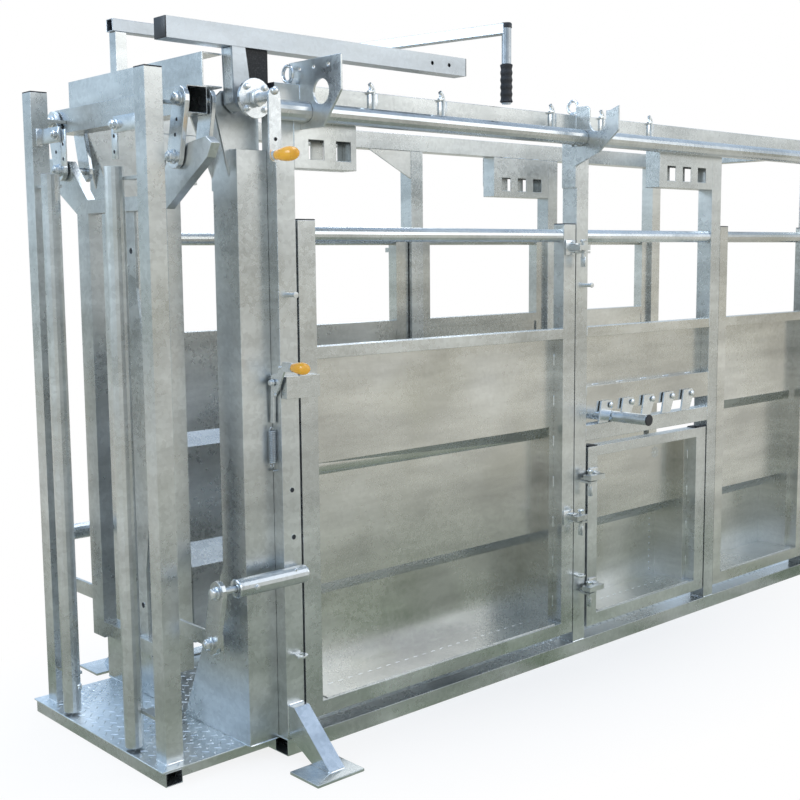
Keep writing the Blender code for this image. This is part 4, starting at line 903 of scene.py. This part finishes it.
# %% Sleeve and rosette
shape = bmesh.new()
gate_flange = [(0.0135, 0), (0.0295, 0), (0.0295, 0.005), (0.0275, 0.0065), (0.0135, 0.0065)]
door_flange = [(0.0125, 0), (0.0265, 0), (0.0265, 0.004), (0.0125, 0.004)]
for _, sign in SIDES:
    for x, axis, flange in ((-1.640, (-1, 0, 0), gate_flange), (-1.385, (1, 0, 0), door_flange)):
        add_turned(shape, flange + [flange[0]], at((x, sign * SLEEVE_Y, SLEEVE_Z), axis), 28)
    nipple = [(0, -0.002), (0.0045, -0.002), (0.0045, 0.005), (0.0028, 0.007), (0.0034, 0.010), (0, 0.012)]
    seat = (-1.43, sign * (SLEEVE_Y + 0.018), SLEEVE_Z + 0.0205)
    add_turned(shape, nipple, at(seat, (0, sign * 0.6, 0.8)), 14)
    add_bolt(shape, (-1.585, sign * (SLEEVE_Y + 0.0282), SLEEVE_Z), (0, sign, 0), 0.012)
finish_piece("sleeve_fittings", shape, zinc_bright, "root")

shape = bmesh.new()
rosette_at = Vector((0.645, OUTER_FACE + 0.0930, 0.738))
hub = [(0, 0), (0.010, 0), (0.009, 0.0015), (0.004, 0.0022), (0, 0.0022)]
add_turned(shape, hub, at(rosette_at, (0, -1, 0)), 20)
for petal in range(8):
    angle = math.tau * petal / 8
    spot = rosette_at + Vector((math.cos(angle), 0, math.sin(angle))) * 0.0195
    add_turned(shape, [(0, 0), (0.0058, 0), (0.005, 0.0014), (0, 0.002)], at(spot, (0, -1, 0)), 14)
finish_piece("half_door_rosette", shape, zinc_bright, "half_door")

# %% [markdown]
# ## Tread plate
# An animal slips on flat zinc, so the floor is rolled tread plate. A bump texture would do from far
# away, but the raised lozenges glint at a low angle, so one pair of them is modelled and repeated
# with two array modifiers.

# %% Tread plate
tread = bmesh.new()
cell, margin = 0.046, 0.012
foot_size, top_size = (0.027, 0.0075), (0.020, 0.004)
foot_z, top_z = -0.0004, 0.0016
floor_low, floor_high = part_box("floor_plate")
for index, turn in ((0, 45), (1, -45)):
    lozenge = bmesh.ops.create_cube(tread, size=1)["verts"]
    for vert in lozenge:
        spread, height = (top_size, top_z) if vert.co.z > 0 else (foot_size, foot_z)
        vert.co = Vector((vert.co.x * spread[0], vert.co.y * spread[1], height))
    step = margin + cell * (0.25 + 0.5 * index)
    spot = Vector((floor_low.x + step, floor_low.y + step, FLOOR_TOP))
    place = Matrix.Translation(spot) @ Matrix.Rotation(math.radians(turn), 4, "Z")
    bmesh.ops.transform(tread, matrix=place, verts=lozenge)
tread_piece = finish_piece("tread_lozenges", tread, zinc_floor, "root")
size = floor_high - floor_low
for axis, offset in ((0, (cell, 0, 0)), (1, (0, cell, 0))):
    rows = tread_piece.modifiers.new(f"rows_{axis}", "ARRAY")
    rows.use_relative_offset = False
    rows.use_constant_offset = True
    rows.constant_offset_displace = offset
    rows.count = int((size[axis] - 2 * margin) // cell)
print("tread rows", [modifier.count for modifier in tread_piece.modifiers])

# %% [markdown]
# ## Camera
# The view comes from the front left at eye height, turned about 48 degrees from the chute's length
# and looking slightly down, with a longish lens that keeps the uprights almost parallel.

# %% Camera
camera = bpy.data.objects.new("camera", bpy.data.cameras.new("camera"))
scene.collection.objects.link(camera)
scene.camera = camera
camera.data.lens = 54.28
camera.data.sensor_width = 36
camera.data.clip_start = 0.1
camera.data.clip_end = 200
azimuth, down, roll = math.radians(47.667), math.radians(6.858), math.radians(-0.496)
forward = Vector((math.cos(azimuth) * math.cos(down), math.sin(azimuth) * math.cos(down), -math.sin(down)))
right = Vector((math.sin(azimuth), -math.cos(azimuth), 0))
over = right.cross(forward)
turned_right = right * math.cos(roll) + over * math.sin(roll)
turned_over = over * math.cos(roll) - right * math.sin(roll)
axes = Matrix((turned_right, turned_over, -forward)).transposed()
camera.matrix_world = Matrix.Translation((-3.67, -3.497, 1.60)) @ axes.to_4x4()

# %% [markdown]
# ## Sky, floor and lamps
# Zinc shows what it mirrors. Under an even white dome every face would have the same grey, so the
# sky is warm on the side that the long face mirrors and cooler on the side that the end faces
# mirror, brightest just above the horizon and bluer higher up. Large soft lamps give the tubes
# their long highlights. The camera itself sees plain white behind everything. The floor is a pale
# disc that melts into that white, so that only its soft shadows stay, but the steel mirrors it as
# a yard: tufts of grass nearby and pale sand further out.

# %% World
world = bpy.data.worlds.new("studio")
scene.world = world
world.use_nodes = True
sky = world.node_tree
for node in list(sky.nodes):
    sky.nodes.remove(node)
direction = add(sky, "TexCoord", {}).outputs["Generated"]
parts = add(sky, "SeparateXYZ", {0: direction})
warm_side = (0.70, -0.71, 0)
sideways = add(sky, "VectorMath", {0: direction, 1: warm_side}, operation="DOT_PRODUCT").outputs["Value"]
side_share = remap(sky, sideways, -0.9, 0.9, 0.0, 1.0)
tint = mix(sky, side_share, (0.80, 0.92, 1.0, 1), (1.0, 0.975, 0.92, 1))
height = remap(sky, parts.outputs[2], -0.35, 0.75, 0.0, 1.0)
level = add(sky, "ValToRGB", {0: height})
below, zenith = level.color_ramp.elements
below.color, zenith.color = (0.16, 0.19, 0.12, 1), (0.62, 0.78, 1.05, 1)
for place_on, tone in (
    (0.16, (0.30, 0.32, 0.24, 1)),
    (0.27, (0.60, 0.59, 0.53, 1)),
    (0.34, (0.80, 0.81, 0.79, 1)),
    (0.42, (0.80, 0.86, 0.92, 1)),
    (0.62, (0.60, 0.72, 0.88, 1)),
):
    level.color_ramp.elements.new(place_on).color = tone
broken = add(sky, "TexNoise", {"Vector": direction, "Scale": 2.2, "Detail": 3})
cloudy = remap(sky, broken.outputs[0], 0.35, 0.65, 0.80, 1.15)
lit = mix(sky, 1.0, mix(sky, 1.0, tint, level.outputs[0], "MULTIPLY"), cloudy, "MULTIPLY")
surroundings = add(sky, "Background", {"Color": lit, "Strength": 1.0})
plain = add(sky, "Background", {"Color": (1, 1, 1, 1), "Strength": 1.0})
seen = add(sky, "LightPath", {}).outputs["Is Camera Ray"]
chosen = add(sky, "MixShader", {0: seen, 1: surroundings.outputs[0], 2: plain.outputs[0]})
target = add(sky, "OutputWorld", {})
sky.links.new(chosen.outputs[0], target.inputs[0])

# %% Floor
ground_shape = bmesh.new()
bmesh.ops.create_circle(ground_shape, cap_ends=True, segments=96, radius=14)
bmesh.ops.translate(ground_shape, verts=ground_shape.verts, vec=(0, 0, -0.001))
ground_mesh = bpy.data.meshes.new("ground")
ground_shape.to_mesh(ground_mesh)
ground_shape.free()
ground = bpy.data.objects.new("ground", ground_mesh)
scene.collection.objects.link(ground)
ground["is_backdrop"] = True
pale, pale_tree, pale_shader = new_material("pale_ground", 0.0, 0.9)
pale_shader.inputs["Base Color"].default_value = (0.86, 0.86, 0.86, 1)
spot = add(pale_tree, "TexCoord", {}).outputs["Object"]
away = add(pale_tree, "VectorMath", {0: spot}, operation="LENGTH").outputs["Value"]
squeezed = add(pale_tree, "VectorMath", {0: spot, 1: (0.62, 1.15, 1)}, operation="MULTIPLY").outputs[0]
edge_way = add(pale_tree, "VectorMath", {0: squeezed}, operation="LENGTH").outputs["Value"]
fade = remap(pale_tree, edge_way, 0.70, 1.60, 0.72, 1.0)
glow = add(pale_tree, "Emission", {"Color": (1, 1, 1, 1), "Strength": 1.0})
rays = add(pale_tree, "LightPath", {})
share = add(pale_tree, "Math", {0: fade, 1: rays.outputs["Is Camera Ray"]}, operation="MULTIPLY").outputs[0]
blended = add(pale_tree, "MixShader", {0: share, 1: pale_shader.outputs[0], 2: glow.outputs[0]})
tufts = add(pale_tree, "TexNoise", {"Vector": spot, "Scale": 1.9, "Detail": 4}).outputs[0]
grass_share = remap(pale_tree, tufts, 0.38, 0.62, 0.0, 1.0)
sand_share = remap(pale_tree, tufts, 0.35, 0.65, 0.0, 1.0)
grass = mix(pale_tree, grass_share, (0.20, 0.25, 0.18, 1), (0.42, 0.45, 0.42, 1))
sand = mix(pale_tree, sand_share, (0.60, 0.60, 0.55, 1), (0.80, 0.79, 0.73, 1))
yard = mix(pale_tree, remap(pale_tree, away, 2.0, 5.0, 0.0, 1.0), grass, sand)
mirrored = add(pale_tree, "Emission", {"Color": yard, "Strength": 1.0})
in_steel = rays.outputs["Is Glossy Ray"]
ground_look = add(pale_tree, "MixShader", {0: in_steel, 1: blended.outputs[0], 2: mirrored.outputs[0]})
pale_tree.links.new(ground_look.outputs[0], pale_tree.nodes["Material Output"].inputs[0])
ground_mesh.materials.append(pale)


# %% Lamps
def soft_lamp(name, place, aim, width, height, watts, colour):
    """A large rectangular lamp that faces its aim."""
    data = bpy.data.lights.new(name, "AREA")
    data.shape = "RECTANGLE"
    data.size, data.size_y = width, height
    data.energy = watts
    data.color = colour
    lamp = bpy.data.objects.new(name, data)
    scene.collection.objects.link(lamp)
    heading = (Vector(aim) - Vector(place)).to_track_quat("-Z", "Y")
    lamp.matrix_world = Matrix.LocRotScale(Vector(place), heading, None)


soft_lamp("long_side", (3.5, -6.5, 4.8), (0, -0.4, 1.0), 7.0, 3.4, 110, (1.0, 0.96, 0.90))
soft_lamp("front_end", (-6.5, 2.0, 4.2), (-0.5, 0, 1.1), 3.0, 2.4, 150, (0.80, 0.90, 1.0))
soft_lamp("overhead", (-0.4, 0.2, 6.5), (0, 0, 0.5), 4.5, 3.0, 130, (0.94, 0.97, 1.0))
soft_lamp("rim", (3.5, 5.5, 4.6), (0, 0, 1.2), 3.0, 1.6, 80, (0.90, 0.95, 1.0))

# %% [markdown]
# ## Colour management
# The standard transform keeps the white behind the object at plain white.

# %% Output colours
scene.view_settings.view_transform = "Standard"
scene.view_settings.look = "None"

# %% Size and finish
low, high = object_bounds()
print("dressed box", tuple(round(value, 4) for value in high - low))
